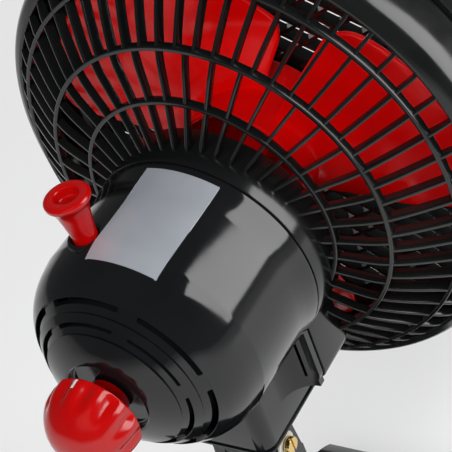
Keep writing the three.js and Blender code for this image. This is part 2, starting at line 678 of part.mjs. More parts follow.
// ---------------------------------------------------------------- housing
const domePoint = (outward, rearward) => [
  WELL_RADIUS + (HOUSING_RADIUS - WELL_RADIUS) * outward,
  DOME_FRONT + (HOUSING_BACK - DOME_FRONT) * rearward,
];

const housingProfile = [
  [HOUSING_RADIUS + 1.4, HUB_BACK + FIT_GAP + 0.3],
  [HOUSING_RADIUS + 1.4, HUB_BACK + 3.2],
  [HOUSING_RADIUS, HUB_BACK + 6],
  domePoint(1, 0),
  domePoint(0.961, 0.2),
  domePoint(0.908, 0.35),
  domePoint(0.827, 0.487),
  domePoint(0.721, 0.6),
  domePoint(0.583, 0.707),
  domePoint(0.498, 0.773),
  domePoint(0.382, 0.853),
  domePoint(0.205, 0.943),
  domePoint(0, 1),
];

function neckSection(inset) {
  const half = NECK_HALF_WIDTH - inset;
  const back = NECK_BACK - inset;
  const front = HUB_BACK + FIT_GAP + 0.3;
  const flare = HUB_TAIL_HALF_WIDTH - 1.4 - NECK_HALF_WIDTH;
  const corner = NECK_CORNER - inset * 0.5;
  const points = [];
  const side = [];
  for (let i = 0; i <= 5; i += 1) {
    const t = i / 5;
    const turn = t * Math.PI / 2;
    side.push([half + flare * (1 - Math.sin(turn)), front + 3 + flare * (1 - Math.cos(turn))]);
  }
  side.unshift([half + flare, front]);
  for (let i = 0; i <= 4; i += 1) {
    const angle = i / 4 * Math.PI / 2;
    side.push([half - corner + corner * Math.cos(angle), back - corner + corner * Math.sin(angle)]);
  }
  for (const [x, y] of side) points.push(new THREE.Vector2(x, y));
  for (const [x, y] of [...side].reverse()) points.push(new THREE.Vector2(-x, y));
  return new THREE.Shape(points);
}

function ventSlots() {
  const bands = [[VENT_BAND_RADII[0], VENT_BAND_RADII[1]], [VENT_BAND_RADII[2], VENT_BAND_RADII[3]]];
  const tools = [];
  bands.forEach(([outer, inner]) => {
    for (let i = 0; i < VENT_SLOTS; i += 1) {
      const step = 360 / VENT_SLOTS;
      const from = rad(VENT_START_DEG + i * step + VENT_GAP_DEG / 2);
      const to = rad(VENT_START_DEG + (i + 1) * step - VENT_GAP_DEG / 2);
      const points = [];
      const steps = 3;
      for (let k = 0; k <= steps; k += 1) {
        const a = from + (to - from) * k / steps;
        points.push(new THREE.Vector2(outer * Math.cos(a), outer * Math.sin(a) - HOUSING_DROP));
      }
      for (let k = steps; k >= 0; k -= 1) {
        const a = from + (to - from) * k / steps;
        points.push(new THREE.Vector2(inner * Math.cos(a), inner * Math.sin(a) - HOUSING_DROP));
      }
      tools.push(extrudeY(new THREE.Shape(points), 80, HOUSING_BACK + 2));
    }
  });
  return tools;
}

function rearShell() {
  const front = HUB_BACK + FIT_GAP + 0.3;
  const wellFloor = HOUSING_BACK - WELL_DEPTH;
  const outer = turned([
    [0, front], ...housingProfile, [WELL_RADIUS, wellFloor], [0, wellFloor],
  ], 34).translate(0, 0, -HOUSING_DROP);
  const inset = HOUSING_WALL;
  const inner = turned([
    [0, front - 1], [HOUSING_RADIUS - inset, front - 1],
    ...housingProfile.filter((_, i) => i > 2 && i % 2 === 1)
      .map(([r, y]) => [r - inset * 0.8, y - inset * 0.8]),
    [WELL_RADIUS + inset, HOUSING_BACK - inset - 1], [WELL_RADIUS + inset, wellFloor - inset],
    [0, wellFloor - inset],
  ], 18).translate(0, 0, -HOUSING_DROP);
  const neckTop = -HOUSING_DROP - 20;
  const neck = extrude(neckSection(0), NECK_BOTTOM + neckTop).translate(0, 0, -NECK_BOTTOM);
  const neckInside = extrude(neckSection(HOUSING_WALL), NECK_BOTTOM - HOUSING_WALL - 30)
    .translate(0, 0, -NECK_BOTTOM + HOUSING_WALL);
  const frontOpen = block(-HUB_TAIL_HALF_WIDTH + 5, HUB_TAIL_HALF_WIDTH - 5, front - 2, front + 4,
    -HUB_TAIL_DROP + 6, -30);
  const pivotHole = rodZ(PIVOT_POST_RADIUS + RUN_GAP, -NECK_BOTTOM - 1, -NECK_BOTTOM + 5,
    0, TILT_TO_GUARD);
  const knobHole = rodY(4.6, wellFloor - 6, wellFloor + 2, 0, -HOUSING_DROP);
  const pullHole = rodZ(PULL_KNOB_STEM + RUN_GAP, 10, 40, SPINDLE_X, SPINDLE_Y);
  const collar = rodZ(PULL_KNOB_STEM + RUN_GAP + 2.2, 20, 31.4, SPINDLE_X, SPINDLE_Y);
  const tailLip = toSolid(extrudeY(seatOutline(-0.6), front, front + 2.6));
  const shell = toSolid(outer).add(toSolid(neck)).add(tailLip).add(toSolid(collar));
  const tools = [inner, neckInside, frontOpen, pivotHole, knobHole, pullHole, ...ventSlots()];
  return fromSolid(tools.reduce((rest, tool) => rest.subtract(toSolid(tool)), shell));
}

// ---------------------------------------------------------------- controls
function speedKnob() {
  const steps = 36;
  const profile = [
    [SPEED_KNOB_RADIUS - 1.6, SPEED_KNOB_BASE, 0.2],
    [SPEED_KNOB_RADIUS, SPEED_KNOB_BASE + 0.8, 0.4],
    [SPEED_KNOB_RADIUS, SPEED_KNOB_BASE + 4.6, 0.9],
    [SPEED_KNOB_RADIUS * 0.955, SPEED_KNOB_BASE + 8.4, 1],
    [SPEED_KNOB_RADIUS * 0.85, SPEED_KNOB_BASE + 12.2, 0.8],
    [SPEED_KNOB_RADIUS * 0.67, SPEED_KNOB_BASE + 15.6, 0.4],
    [SPEED_KNOB_RADIUS * 0.42, SPEED_KNOB_BASE + 18, 0.05],
    [SPEED_KNOB_RADIUS * 0.14, SPEED_KNOB_TIP, 0],
  ];
  const positions = [];
  const index = [];
  for (const [radius, y, depth] of profile) {
    for (let i = 0; i < steps; i += 1) {
      const angle = i / steps * TAU;
      const flute = 0.5 - 0.5 * Math.cos(angle * SPEED_KNOB_FLUTES);
      const r = radius - 1.5 * depth * flute;
      positions.push(-r * Math.sin(angle), y, r * Math.cos(angle));
    }
  }
  const rings = profile.length;
  for (let k = 0; k < rings - 1; k += 1) {
    for (let i = 0; i < steps; i += 1) {
      const a = k * steps + i;
      const b = k * steps + (i + 1) % steps;
      index.push(a, b + steps, b, a, a + steps, b + steps);
    }
  }
  const base = positions.length / 3;
  positions.push(0, SPEED_KNOB_BASE, 0, 0, SPEED_KNOB_TIP + 0.2, 0);
  for (let i = 0; i < steps; i += 1) {
    index.push(base, i, (i + 1) % steps);
    index.push(base + 1, (rings - 1) * steps + (i + 1) % steps, (rings - 1) * steps + i);
  }
  const cap = new THREE.BufferGeometry();
  cap.setAttribute('position', new THREE.BufferAttribute(new Float32Array(positions), 3));
  cap.setIndex(index);
  const stem = rodY(10, HOUSING_BACK - WELL_DEPTH + RUN_GAP, SPEED_KNOB_BASE + 2);
  const socket = rodY(3.2 + FIT_GAP, HOUSING_BACK - WELL_DEPTH - 1, SPEED_KNOB_BASE + 8, 0, 0, 16);
  return cut(join(cap, stem), socket).translate(0, 0, -HOUSING_DROP);
}

function speedSwitch() {
  const back = HOUSING_BACK - WELL_DEPTH - HOUSING_WALL - FIT_GAP;
  const body = extrudeY(roundedRect(22, 20, 3, 3), back - 10, back);
  const stem = rodY(3.2, back - 1, SPEED_KNOB_BASE + 6, 0, 0, 16);
  return join(body, stem).translate(0, 0, -HOUSING_DROP);
}

function pullKnob() {
  const top = PULL_KNOB_TOP;
  const stem = PULL_KNOB_STEM;
  const collar = PULL_KNOB_COLLAR;
  const socket = SPINDLE_RADIUS + FIT_GAP;
  const foot = GEAR_TOP + 8;
  return turnedUpright([
    [0, top - 3.4], [2.6, top - 3.2], [4.4, top - 1], [5.6, top - 0.1], [collar - 0.8, top],
    [collar, top - 0.9], [collar - 0.3, top - 2.2], [stem + 1.7, top - 4.6], [stem + 0.7, top - 8],
    [stem, top - 17], [stem - 0.2, foot], [socket, foot], [socket, GEAR_TOP + 12 + PULL_TRAVEL],
    [0, GEAR_TOP + 12 + PULL_TRAVEL],
  ], 14).translate(SPINDLE_X, SPINDLE_Y, 0);
}

// ---------------------------------------------------------------- swivel and tilt
function tiltBlock() {
  const barrel = rodX(EAR_RADIUS, -BLOCK_HALF_WIDTH, BLOCK_HALF_WIDTH, 0, 0, 24);
  const top = TILT_TO_FAN_AXIS - NECK_BOTTOM - FIT_GAP;
  const disc = rodZ(SWIVEL_DISC_RADIUS, top - SWIVEL_DISC_THICKNESS, top, 0, 0, 28);
  const neck = block(-BLOCK_HALF_WIDTH, BLOCK_HALF_WIDTH, -EAR_RADIUS, EAR_RADIUS, 0, top - 1);
  const post = rodZ(PIVOT_POST_RADIUS, top - 1, top + POST_RISE, 0, 0);
  const bore = rodX(TILT_PIN_RADIUS + FIT_GAP, -BLOCK_HALF_WIDTH - 1, BLOCK_HALF_WIDTH + 1, 0, 0);
  return cut(join(barrel, disc, neck, post), bore);
}

const TILT_BLOCK_TOP = TILT_TO_FAN_AXIS - NECK_BOTTOM - FIT_GAP + POST_RISE;
const LINK_HEIGHT = TILT_TO_FAN_AXIS + CRANK_TOP - CRANK_PIN_DEPTH - LINK_THICKNESS / 2 - 1.2;

// A cap screwed on the swivel post: it keeps the head on and carries the link's fixed pivot.
function pivotArm() {
  const under = LINK_HEIGHT - LINK_THICKNESS / 2 - RUN_GAP;
  const column = rodZ(PIVOT_POST_RADIUS, TILT_BLOCK_TOP + FIT_GAP, under, 0, 0);
  const collar = rodZ(PIVOT_POST_RADIUS + 3.5, TILT_BLOCK_TOP + FIT_GAP, TILT_BLOCK_TOP + 2.4, 0, 0);
  const arm = block(0, ANCHOR_ARM, -4, 4, under - 3, under).rotateZ(anchor.angle());
  const end = rodZ(4, under - 3, under, anchor.x, anchor.y);
  const pin = rodZ(1.8, under - 1, under + LINK_THICKNESS + 2 * RUN_GAP, anchor.x, anchor.y, 14);
  return join(column, arm, end, pin, collar);
}

function link() {
  const reach = crankPin.clone().sub(anchor);
  const length = reach.length();
  const bar = extrude(roundedRect(length, 5, 2.4, 4), LINK_THICKNESS).translate(length / 2, 0, 0);
  const eyes = [0, length].map((x) => rodZ(LINK_EYE, 0, LINK_THICKNESS, x, 0));
  const hole = rodZ(1.8 + FIT_GAP, -1, LINK_THICKNESS + 1, 0, 0, 14);
  const tipHole = rodZ(1.9, -1, LINK_THICKNESS + 1, length, 0, 14);
  return cut(join(bar, ...eyes), hole, tipHole).rotateZ(reach.angle())
    .translate(anchor.x, anchor.y, LINK_HEIGHT - LINK_THICKNESS / 2);
}

// ---------------------------------------------------------------- post and clamp
const POST_TOP = TILT_HEIGHT;

function post() {
  const inner = BLOCK_HALF_WIDTH + FIT_GAP;
  const outer = inner + EAR_THICKNESS;
  const earPoints = [];
  for (let i = 0; i <= 12; i += 1) {
    const a = i / 12 * Math.PI;
    earPoints.push(new THREE.Vector2(EAR_RADIUS * Math.cos(a), EAR_RADIUS * Math.sin(a) + POST_TOP));
  }
  const crotch = POST_TOP - EAR_RADIUS - 3;
  earPoints.push(new THREE.Vector2(-EAR_RADIUS - 1.6, crotch - 6));
  earPoints.push(new THREE.Vector2(EAR_RADIUS + 1.6, crotch - 6));
  const ears = [[-outer, -inner], [inner, outer]]
    .map(([from, to]) => extrudeX(new THREE.Shape(earPoints), from, to));
  const foot = POST_BASE_Z + FIT_GAP;
  const side = new THREE.Shape([
    new THREE.Vector2(-16, foot), new THREE.Vector2(16, foot), new THREE.Vector2(13, foot + 8),
    new THREE.Vector2(EAR_RADIUS + 1.6, crotch - 14), new THREE.Vector2(EAR_RADIUS + 1.6, crotch),
    new THREE.Vector2(-EAR_RADIUS - 1.6, crotch), new THREE.Vector2(-EAR_RADIUS - 1.6, crotch - 14),
    new THREE.Vector2(-13, foot + 8),
  ]);
  const stem = extrudeX(side, -outer, outer);
  const ribs = [-1, 0, 1].map((k) => block(k * 7 - 1.1, k * 7 + 1.1, EAR_RADIUS, EAR_RADIUS + 4.4,
    foot + 6, crotch - 4));
  const bore = rodX(TILT_PIN_RADIUS + FIT_GAP, -outer - 1, outer + 1, 0, POST_TOP, 20);
  return cut(join(...ears, stem, ...ribs), bore);
}

const PIN_HALF = BLOCK_HALF_WIDTH + FIT_GAP + EAR_THICKNESS;

function tiltScrew() {
  const washer = 1.2;
  const under = -PIN_HALF - FIT_GAP * 2 - washer;
  const head = rodX(3.4, under - 2.6, under, 0, TILT_HEIGHT, 24);
  const rod = rodX(TILT_PIN_RADIUS, under - 1, PIN_HALF + 3.6, 0, TILT_HEIGHT, 20);
  return join(head, rod);
}

function ringX(inner, outer, x0, x1, y, z, segments = 14) {
  return turned([[inner, x0], [outer, x0], [outer, x1], [inner, x1], [inner, x0]], segments)
    .rotateZ(-Math.PI / 2).translate(0, y, z);
}

const tiltWasher = () => ringX(TILT_PIN_RADIUS + FIT_GAP, 5.2,
  -PIN_HALF - FIT_GAP - 1.2, -PIN_HALF - FIT_GAP,
  0, TILT_HEIGHT);

function tiltNut() {
  const hexagon = new THREE.Shape(circlePoints(4.8, 6));
  hexagon.holes.push(new THREE.Path(circlePoints(TILT_PIN_RADIUS + FIT_GAP, 20)));
  return extrudeX(hexagon, PIN_HALF + FIT_GAP, PIN_HALF + 3.4).translate(0, 0, TILT_HEIGHT);
}

const BASE_TOP = FOOT_HEIGHT + BASE_HEIGHT;
const BASE_LENGTH = BASE_FRONT + BASE_REAR;
const BASE_MIDDLE = (BASE_REAR - BASE_FRONT) / 2;

function baseJaw() {
  const outer = extrude(roundedRect(BASE_WIDTH, BASE_LENGTH, BASE_CORNER, 4), BASE_HEIGHT)
    .translate(0, BASE_MIDDLE, FOOT_HEIGHT);
  const hollow = extrude(roundedRect(BASE_WIDTH - 2 * BASE_WALL, BASE_LENGTH - 2 * BASE_WALL,
    BASE_CORNER - BASE_WALL, 4), BASE_HEIGHT - BASE_WALL).translate(0, BASE_MIDDLE, FOOT_HEIGHT - 0.01);
  const cheekPoints = [];
  for (let i = 0; i <= 12; i += 1) {
    const a = i / 12 * Math.PI;
    cheekPoints.push(new THREE.Vector2(CLAMP_PIVOT_Y + 11 * Math.cos(a), CLAMP_PIVOT_Z + 11 * Math.sin(a)));
  }
  cheekPoints.push(new THREE.Vector2(CLAMP_PIVOT_Y - 20, BASE_TOP - 2));
  cheekPoints.push(new THREE.Vector2(CLAMP_PIVOT_Y + 20, BASE_TOP - 2));
  const cheeks = [-1, 1].map((side) => {
    const near = side * CHEEK_INNER;
    const far = side * (CHEEK_INNER + CHEEK_THICKNESS);
    return extrudeX(new THREE.Shape(cheekPoints), Math.min(near, far), Math.max(near, far));
  });
  const bores = rodX(CLAMP_PIN_RADIUS + FIT_GAP, -60, 60, CLAMP_PIVOT_Y, CLAMP_PIVOT_Z, 20);
  const bosses = footPlaces().map(([x, y]) => rodZ(FOOT_RADIUS + 1.5, FOOT_HEIGHT, BASE_TOP - 1, x, y, 14));
  const body = cut(outer, hollow);
  const padSeat = block(-JAW_HALF_WIDTH + 2, JAW_HALF_WIDTH - 2, -BASE_FRONT + 4,
    -BASE_FRONT + 4 + PAD_LENGTH, BASE_TOP - 1.2, BASE_TOP + 1);
  return cut(join(body, ...cheeks, ...bosses), bores, padSeat);
}

function footPlaces() {
  const x = BASE_WIDTH / 2 - 13;
  return [[-x, -BASE_FRONT + 14], [x, -BASE_FRONT + 14], [-x, BASE_REAR - 14], [x, BASE_REAR - 14]];
}

function foot([x, y]) {
  return turnedUpright([
    [0, 0], [FOOT_RADIUS - 0.8, 0], [FOOT_RADIUS, FOOT_HEIGHT - FIT_GAP], [0, FOOT_HEIGHT - FIT_GAP],
  ], 14).translate(x, y, 0);
}

const PAD_FLOOR = BASE_TOP - 1.2 + FIT_GAP;
const PAD_MEETING = PAD_FLOOR + PAD_THICKNESS;

function gripPad(z0, z1, groovesUp) {
  const front = -BASE_FRONT + 4 + FIT_GAP;
  const back = front + PAD_LENGTH - 2 * FIT_GAP;
  const halfWidth = JAW_HALF_WIDTH - 2 - FIT_GAP;
  const points = [];
  const grooves = 6;
  const pitch = (back - front) / grooves;
  const face = groovesUp ? z1 : z0;
  const plain = groovesUp ? z0 : z1;
  const sink = groovesUp ? -0.9 : 0.9;
  for (let i = 0; i < grooves; i += 1) {
    const y = front + i * pitch;
    points.push([y, face], [y + pitch * 0.6, face], [y + pitch * 0.7, face + sink],
      [y + pitch * 0.9, face + sink]);
  }
  points.push([back, face], [back, plain], [front, plain]);
  return extrudeX(new THREE.Shape(points.map(([y, z]) => new THREE.Vector2(y, z))), -halfWidth, halfWidth);
}

// The clamp's upper jaw seen from the side: nose, rising back, post seat and rear lever.
function jawOutline(inset) {
  const nose = -BASE_FRONT + 2 + inset;
  const under = PAD_MEETING + FIT_GAP + PAD_THICKNESS + FIT_GAP + inset * 0.6;
  const top = POST_BASE_Z - inset;
  const shape = new THREE.Shape();
  shape.moveTo(nose, under);
  shape.lineTo(nose, under + 3.5 - inset * 0.4);
  shape.bezierCurveTo(nose + 14, under + 15 - inset, -44, 34 - inset, -30, 42 - inset);
  shape.bezierCurveTo(-22, 50 - inset, -20, top, -16 + inset * 0.4, top);
  shape.lineTo(17 - inset * 0.4, top);
  shape.bezierCurveTo(30, top, 40, top - 2, 52, 64 - inset);
  shape.lineTo(BASE_REAR - inset, 69 - inset);
  shape.lineTo(BASE_REAR - inset, 64);
  shape.bezierCurveTo(54, 56, 48, 44, CLAMP_PIVOT_Y + 9 - inset, CLAMP_PIVOT_Z - 4);
  shape.bezierCurveTo(CLAMP_PIVOT_Y + 5, CLAMP_PIVOT_Z - 11 + inset, CLAMP_PIVOT_Y - 6,
    CLAMP_PIVOT_Z - 11 + inset, CLAMP_PIVOT_Y - 9, CLAMP_PIVOT_Z - 6 + inset * 0.5);
  shape.bezierCurveTo(2, under + 17, -20, under + 14, -30, under + 4 + inset * 0.5);
  shape.bezierCurveTo(-36, under, -40, under, -46, under);
  return shape;
}

function upperJaw() {
  const half = JAW_HALF_WIDTH;
  const outer = extrudeX(jawOutline(0), -half, half);
  const pocketA = extrudeX(jawOutline(JAW_WALL), -half + JAW_WALL, half - JAW_WALL);
  const throat = block(-half + JAW_WALL, half - JAW_WALL, 2, BASE_REAR - 8, CLAMP_PIVOT_Z - 14, 52);
  const keep = toSolid(pocketA);
  const open = toSolid(throat).intersect(toSolid(extrudeX(jawOutline(-0.5), -half, half)));
  const bore = rodX(CLAMP_PIN_RADIUS + FIT_GAP, -60, 60, CLAMP_PIVOT_Y, CLAMP_PIVOT_Z, 20);
  return fromSolid(toSolid(outer).subtract(keep).subtract(open).subtract(toSolid(bore)));
}

const clampPin = () => join(
  rodX(CLAMP_PIN_RADIUS, -CHEEK_INNER - CHEEK_THICKNESS - 1, CHEEK_INNER + CHEEK_THICKNESS + 1,
    CLAMP_PIVOT_Y, CLAMP_PIVOT_Z, 20),
  rodX(CLAMP_PIN_RADIUS + 2, CHEEK_INNER + CHEEK_THICKNESS + FIT_GAP, CHEEK_INNER + CHEEK_THICKNESS + 2.4,
    CLAMP_PIVOT_Y, CLAMP_PIVOT_Z, 20),
  rodX(CLAMP_PIN_RADIUS + 2, -CHEEK_INNER - CHEEK_THICKNESS - 2.4, -CHEEK_INNER - CHEEK_THICKNESS - FIT_GAP,
    CLAMP_PIVOT_Y, CLAMP_PIVOT_Z, 20));

// The clamp spring: close turns round the pin, one leg under the lever, one on the base.
function springPath() {
  const length = SPRING_TURNS * SPRING_PITCH;
  const startAngle = rad(SPRING_START_DEG);
  const total = SPRING_TURNS * TAU + rad(SPRING_EXTRA_DEG);
  const steps = Math.round(SPRING_STEPS * total / TAU);
  const onCoil = (i) => {
    const a = startAngle + total * i / steps;
    return new THREE.Vector3(-length / 2 + length * i / steps,
      CLAMP_PIVOT_Y + SPRING_RADIUS * Math.cos(a), CLAMP_PIVOT_Z + SPRING_RADIUS * Math.sin(a));
  };
  const points = [];
  for (let i = 0; i <= steps; i += 1) points.push(onCoil(i));
  // each leg runs off square along the coil's last direction
  const leave = (a, sign) => new THREE.Vector3(0, -Math.sin(a) * sign, Math.cos(a) * sign);
  const first = leave(startAngle, -1);
  const last = leave(startAngle + total, 1);
  const leg = (from, way, lengthOfLeg) => from.clone().addScaledVector(way, lengthOfLeg);
  const start = [leg(points[0], first, SPRING_BASE_LEG), leg(points[0], first, SPRING_WIRE)];
  const end = [leg(points[steps], last, SPRING_WIRE), leg(points[steps], last, SPRING_LEVER_LEG)];
  return [...start, ...points, ...end];
}

// A tube of one unbroken skin along a path, with its ends cut square.
function tubeAlong(points, radius, sides) {
  const positions = [];
  const index = [];
  const count = points.length;
  const across = new THREE.Vector3(1, 0, 0);
  for (let i = 0; i < count; i += 1) {
    const before = points[Math.max(0, i - 1)];
    const after = points[Math.min(count - 1, i + 1)];
    const tangent = after.clone().sub(before).normalize();
    const u = across.clone().addScaledVector(tangent, -across.dot(tangent)).normalize();
    const v = tangent.clone().cross(u);
    for (let k = 0; k < sides; k += 1) {
      const a = k / sides * TAU;
      const p = points[i].clone().addScaledVector(u, radius * Math.cos(a))
        .addScaledVector(v, radius * Math.sin(a));
      positions.push(p.x, p.y, p.z);
    }
  }
  for (let i = 0; i < count - 1; i += 1) {
    for (let k = 0; k < sides; k += 1) {
      const a = i * sides + k;
      const b = i * sides + (k + 1) % sides;
      index.push(a, b, b + sides, a, b + sides, a + sides);
    }
  }
  for (let k = 1; k < sides - 1; k += 1) {
    index.push(0, k + 1, k);
    const last = (count - 1) * sides;
    index.push(last, last + k, last + k + 1);
  }
  const tube = new THREE.BufferGeometry();
  tube.setAttribute('position', new THREE.BufferAttribute(new Float32Array(positions), 3));
  tube.setIndex(index);
  return tube;
}

// Least distance between the skins of two turns, measured between finely spaced path points.
function leastGap(points, radius) {
  const fine = [];
  for (let i = 0; i < points.length - 1; i += 1) {
    const pieces = Math.ceil(points[i].distanceTo(points[i + 1]) / 0.5);
    for (let k = 0; k < pieces; k += 1) fine.push(points[i].clone().lerp(points[i + 1], k / pieces));
  }
  let least = Infinity;
  const halfTurn = Math.round(Math.PI * SPRING_RADIUS / 0.5);
  for (let i = 0; i < fine.length; i += 1) {
    for (let j = i + halfTurn; j < fine.length; j += 1) {
      least = Math.min(least, fine[i].distanceTo(fine[j]));
    }
  }
  return least - 2 * radius;
}

function spring() {
  const path = springPath();
  const gap = leastGap(path, SPRING_WIRE / 2);
  console.log(`clamp spring: least gap between turns ${gap.toFixed(2)} mm`);
  return tubeAlong(path, SPRING_WIRE / 2, SPRING_SIDES);
}

// ---------------------------------------------------------------- assembly
const fan = new THREE.Group();
fan.name = 'clip_fan';

const clamp = new THREE.Group();
clamp.add(node('base_jaw', baseJaw(), BLACK));
['front_left', 'front_right', 'rear_left', 'rear_right'].forEach((place, i) => {
  clamp.add(node(`foot_${place}`, foot(footPlaces()[i]), RUBBER));
});
clamp.add(node('lower_grip_pad', gripPad(PAD_FLOOR, PAD_MEETING, true), RUBBER));
clamp.add(node('upper_grip_pad',
  gripPad(PAD_MEETING + FIT_GAP, PAD_MEETING + FIT_GAP + PAD_THICKNESS, false), RUBBER));
clamp.add(node('clamp_pin', clampPin(), STEEL));
clamp.add(node('clamp_spring', spring(), STEEL));
clamp.add(node('upper_jaw', upperJaw(), BLACK));
clamp.add(node('post', post(), BLACK));
clamp.add(node('tilt_screw', tiltScrew(), BRASS));
clamp.add(node('tilt_washer', tiltWasher(), NYLON));
clamp.add(node('tilt_nut', tiltNut(), STEEL));
fan.add(clamp);

const tilt = new THREE.Group();
tilt.position.set(0, 0, TILT_HEIGHT);
tilt.add(node('tilt_block', tiltBlock(), BLACK_SATIN));
tilt.add(node('pivot_arm', pivotArm(), STEEL));
tilt.add(node('oscillation_link', link(), STEEL));
fan.add(tilt);

const head = new THREE.Group();
head.position.set(0, -TILT_TO_GUARD, TILT_HEIGHT + TILT_TO_FAN_AXIS);
head.add(node('rear_guard', rearGuard(), BLACK));
head.add(node('front_grille', frontGrille(), BLACK));
head.add(node('rear_shell', rearShell(), BLACK));
head.add(node('stator', stator(), IRON));
head.add(node('coil_left', coil(-1), COPPER));
head.add(node('coil_right', coil(1), COPPER));
head.add(node('front_bearing', bearing(FRONT_BEARING), BRASS));
head.add(node('rear_bearing', bearing(REAR_BEARING), BRASS));
head.add(node('front_bracket', bracket(FRONT_BEARING, STATOR_FRONT, -1), IRON));
head.add(node('gear_case', gearCase(), NYLON));
head.add(node('speed_switch', speedSwitch(), NYLON));
head.add(node('speed_knob', speedKnob(), RED));
head.add(node('pull_knob', pullKnob(), RED));
const clutch = node('clutch_spindle', spindle(), STEEL);
clutch.position.set(SPINDLE_X, SPINDLE_Y, 0);
head.add(clutch);
head.add(node('motor_shaft', shaft(), STEEL));
head.add(node('rotor', rotor(), IRON));
head.add(node('impeller', impeller(), RED));
fan.add(head);

// the origin lies below the middle of the whole fan, front to back
const REACH_FRONT = TILT_TO_GUARD - GRILLE_FACE;
const REACH_REAR = SPEED_KNOB_TIP + 0.2 - TILT_TO_GUARD;
for (const part of fan.children) part.position.y += (REACH_FRONT - REACH_REAR) / 2;

export default fan;
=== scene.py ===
"""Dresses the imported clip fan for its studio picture.

Lengths inside the classes are in millimetres. Each piece is moved to the row frame, in metres,
when it is made. The head's own frame has its origin on the fan axis, in the plane of the rear
guard's outer ring; the clamp's has its origin on the table.
"""

import logging
import math
from dataclasses import dataclass
from enum import Enum
from typing import Callable, Sequence

import bmesh
import bpy
from mathutils import Matrix, Vector


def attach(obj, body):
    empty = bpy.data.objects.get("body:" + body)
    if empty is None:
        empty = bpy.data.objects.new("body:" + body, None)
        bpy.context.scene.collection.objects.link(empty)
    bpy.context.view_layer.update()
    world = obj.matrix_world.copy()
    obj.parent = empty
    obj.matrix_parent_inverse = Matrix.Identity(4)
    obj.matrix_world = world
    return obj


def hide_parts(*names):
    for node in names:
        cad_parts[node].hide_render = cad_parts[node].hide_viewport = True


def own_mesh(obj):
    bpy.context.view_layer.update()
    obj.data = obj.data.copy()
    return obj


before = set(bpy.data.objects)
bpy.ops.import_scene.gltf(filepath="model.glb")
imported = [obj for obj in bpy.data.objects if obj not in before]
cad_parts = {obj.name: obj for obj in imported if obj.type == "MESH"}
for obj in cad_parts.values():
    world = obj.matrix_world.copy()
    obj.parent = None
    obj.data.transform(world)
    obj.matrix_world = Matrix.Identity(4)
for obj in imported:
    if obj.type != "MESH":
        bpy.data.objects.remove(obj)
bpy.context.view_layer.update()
LOG = logging.getLogger("clip_fan")

Pair = tuple[float, float]
Triple = tuple[float, float, float]
Colour = tuple[float, float, float]

MM = 0.001
TAU = math.tau
DEGREE = 0.0175  # one degree in radians, as coarse as the blades' edges need it
BARREL_DROP = 12.2  # the motor's axis lies this far below the fan's
PULL_SPOT = (11.6, 66.5)
TILT_HEIGHT = 128.0
CLAMP_PIVOT = (30.0, 36.0)
FEET = {"front_left": (-35.0, -66.0), "front_right": (35.0, -66.0), "rear_left": (-35.0, 58.0),
        "rear_right": (35.0, 58.0)}


class Place(Enum):
    """Where each sub-assembly's own origin lies in the row frame, in millimetres."""

    CLAMP = (0.0, 5.65, 0.0)
    TILT = (0.0, 5.65, TILT_HEIGHT)
    HEAD = (0.0, -38.35, 223.0)


class Body(Enum):
    """The moving bodies that pieces ride on."""

    BASE = "clamp_base"
    JAW = "upper_clamp"
    NECK = "tilt_neck"
    HEAD = "head"
    DIAL = "speed_dial"
    BUTTON = "swing_button"
    FAN = "fan"


# ------------------------------------------------------------------ outlines
def rounded(points: Sequence[Pair], radius: float, steps: int = 4, closed: bool = True) -> list[Pair]:
    """Rounds the corners of an outline.

    Args:
        points: Corners in order.
        radius: How far each rounding reaches along its two sides.
        steps: Straight pieces in one rounding.
        closed: Whether the last corner joins the first.

    Returns:
        The rounded outline.
    """
    out: list[Pair] = []
    count = len(points)
    for i, corner in enumerate(points):
        if not closed and i in (0, count - 1):
            out.append(corner)
            continue
        here = Vector(corner)
        before = Vector(points[i - 1]) - here
        after = Vector(points[(i + 1) % count]) - here
        reach = min(radius, before.length * 0.45, after.length * 0.45)
        start = here + before.normalized() * reach
        end = here + after.normalized() * reach
        for k in range(steps + 1):
            t = k / steps
            spot = start * (1 - t) ** 2 + here * (2 * t * (1 - t)) + end * t * t
            out.append((spot.x, spot.y))
    return out


def smooth_curve(knots: Sequence[Pair], steps: int) -> list[Pair]:
    """A soft curve through knots.

    Args:
        knots: Points to pass through.
        steps: Pieces between two knots.

    Returns:
        Points along the curve.
    """
    out: list[Pair] = []
    last = len(knots) - 1
    for i in range(last):
        p0, p1 = Vector(knots[max(i - 1, 0)]), Vector(knots[i])
        p2, p3 = Vector(knots[i + 1]), Vector(knots[min(i + 2, last)])
        for k in range(steps):
            t = k / steps
            spot = 0.5 * (2 * p1 + (p2 - p0) * t + (2 * p0 - 5 * p1 + 4 * p2 - p3) * t * t
                          + (3 * p1 - p0 - 3 * p2 + p3) * t ** 3)
            out.append((spot.x, spot.y))
    out.append(tuple(knots[last]))
    return out


def rounded_rect(width: float, height: float, radius: float, steps: int = 8) -> list[Pair]:
    """An upright rectangle with round corners, centred on zero.

    Args:
        width: Full width.
        height: Full height.
        radius: Corner radius.
        steps: Pieces in one corner.

    Returns:
        The outline, anticlockwise.
    """
    w, h = width / 2 - radius, height / 2 - radius
    points: list[Pair] = []
    for quarter, (x, y) in enumerate(((w, h), (-w, h), (-w, -h), (w, -h))):
        for i in range(steps + 1):
            angle = (quarter + i / steps) * math.pi / 2
            points.append((x + radius * math.cos(angle), y + radius * math.sin(angle)))
    return points


def half_circle(x: float, y: float, radius: float) -> list[Pair]:
    """The upper half of a circle round (x, y), from right to left."""
    turns = [i / 24 * math.pi for i in range(25)]
    return [(x + radius * math.cos(a), y + radius * math.sin(a)) for a in turns]


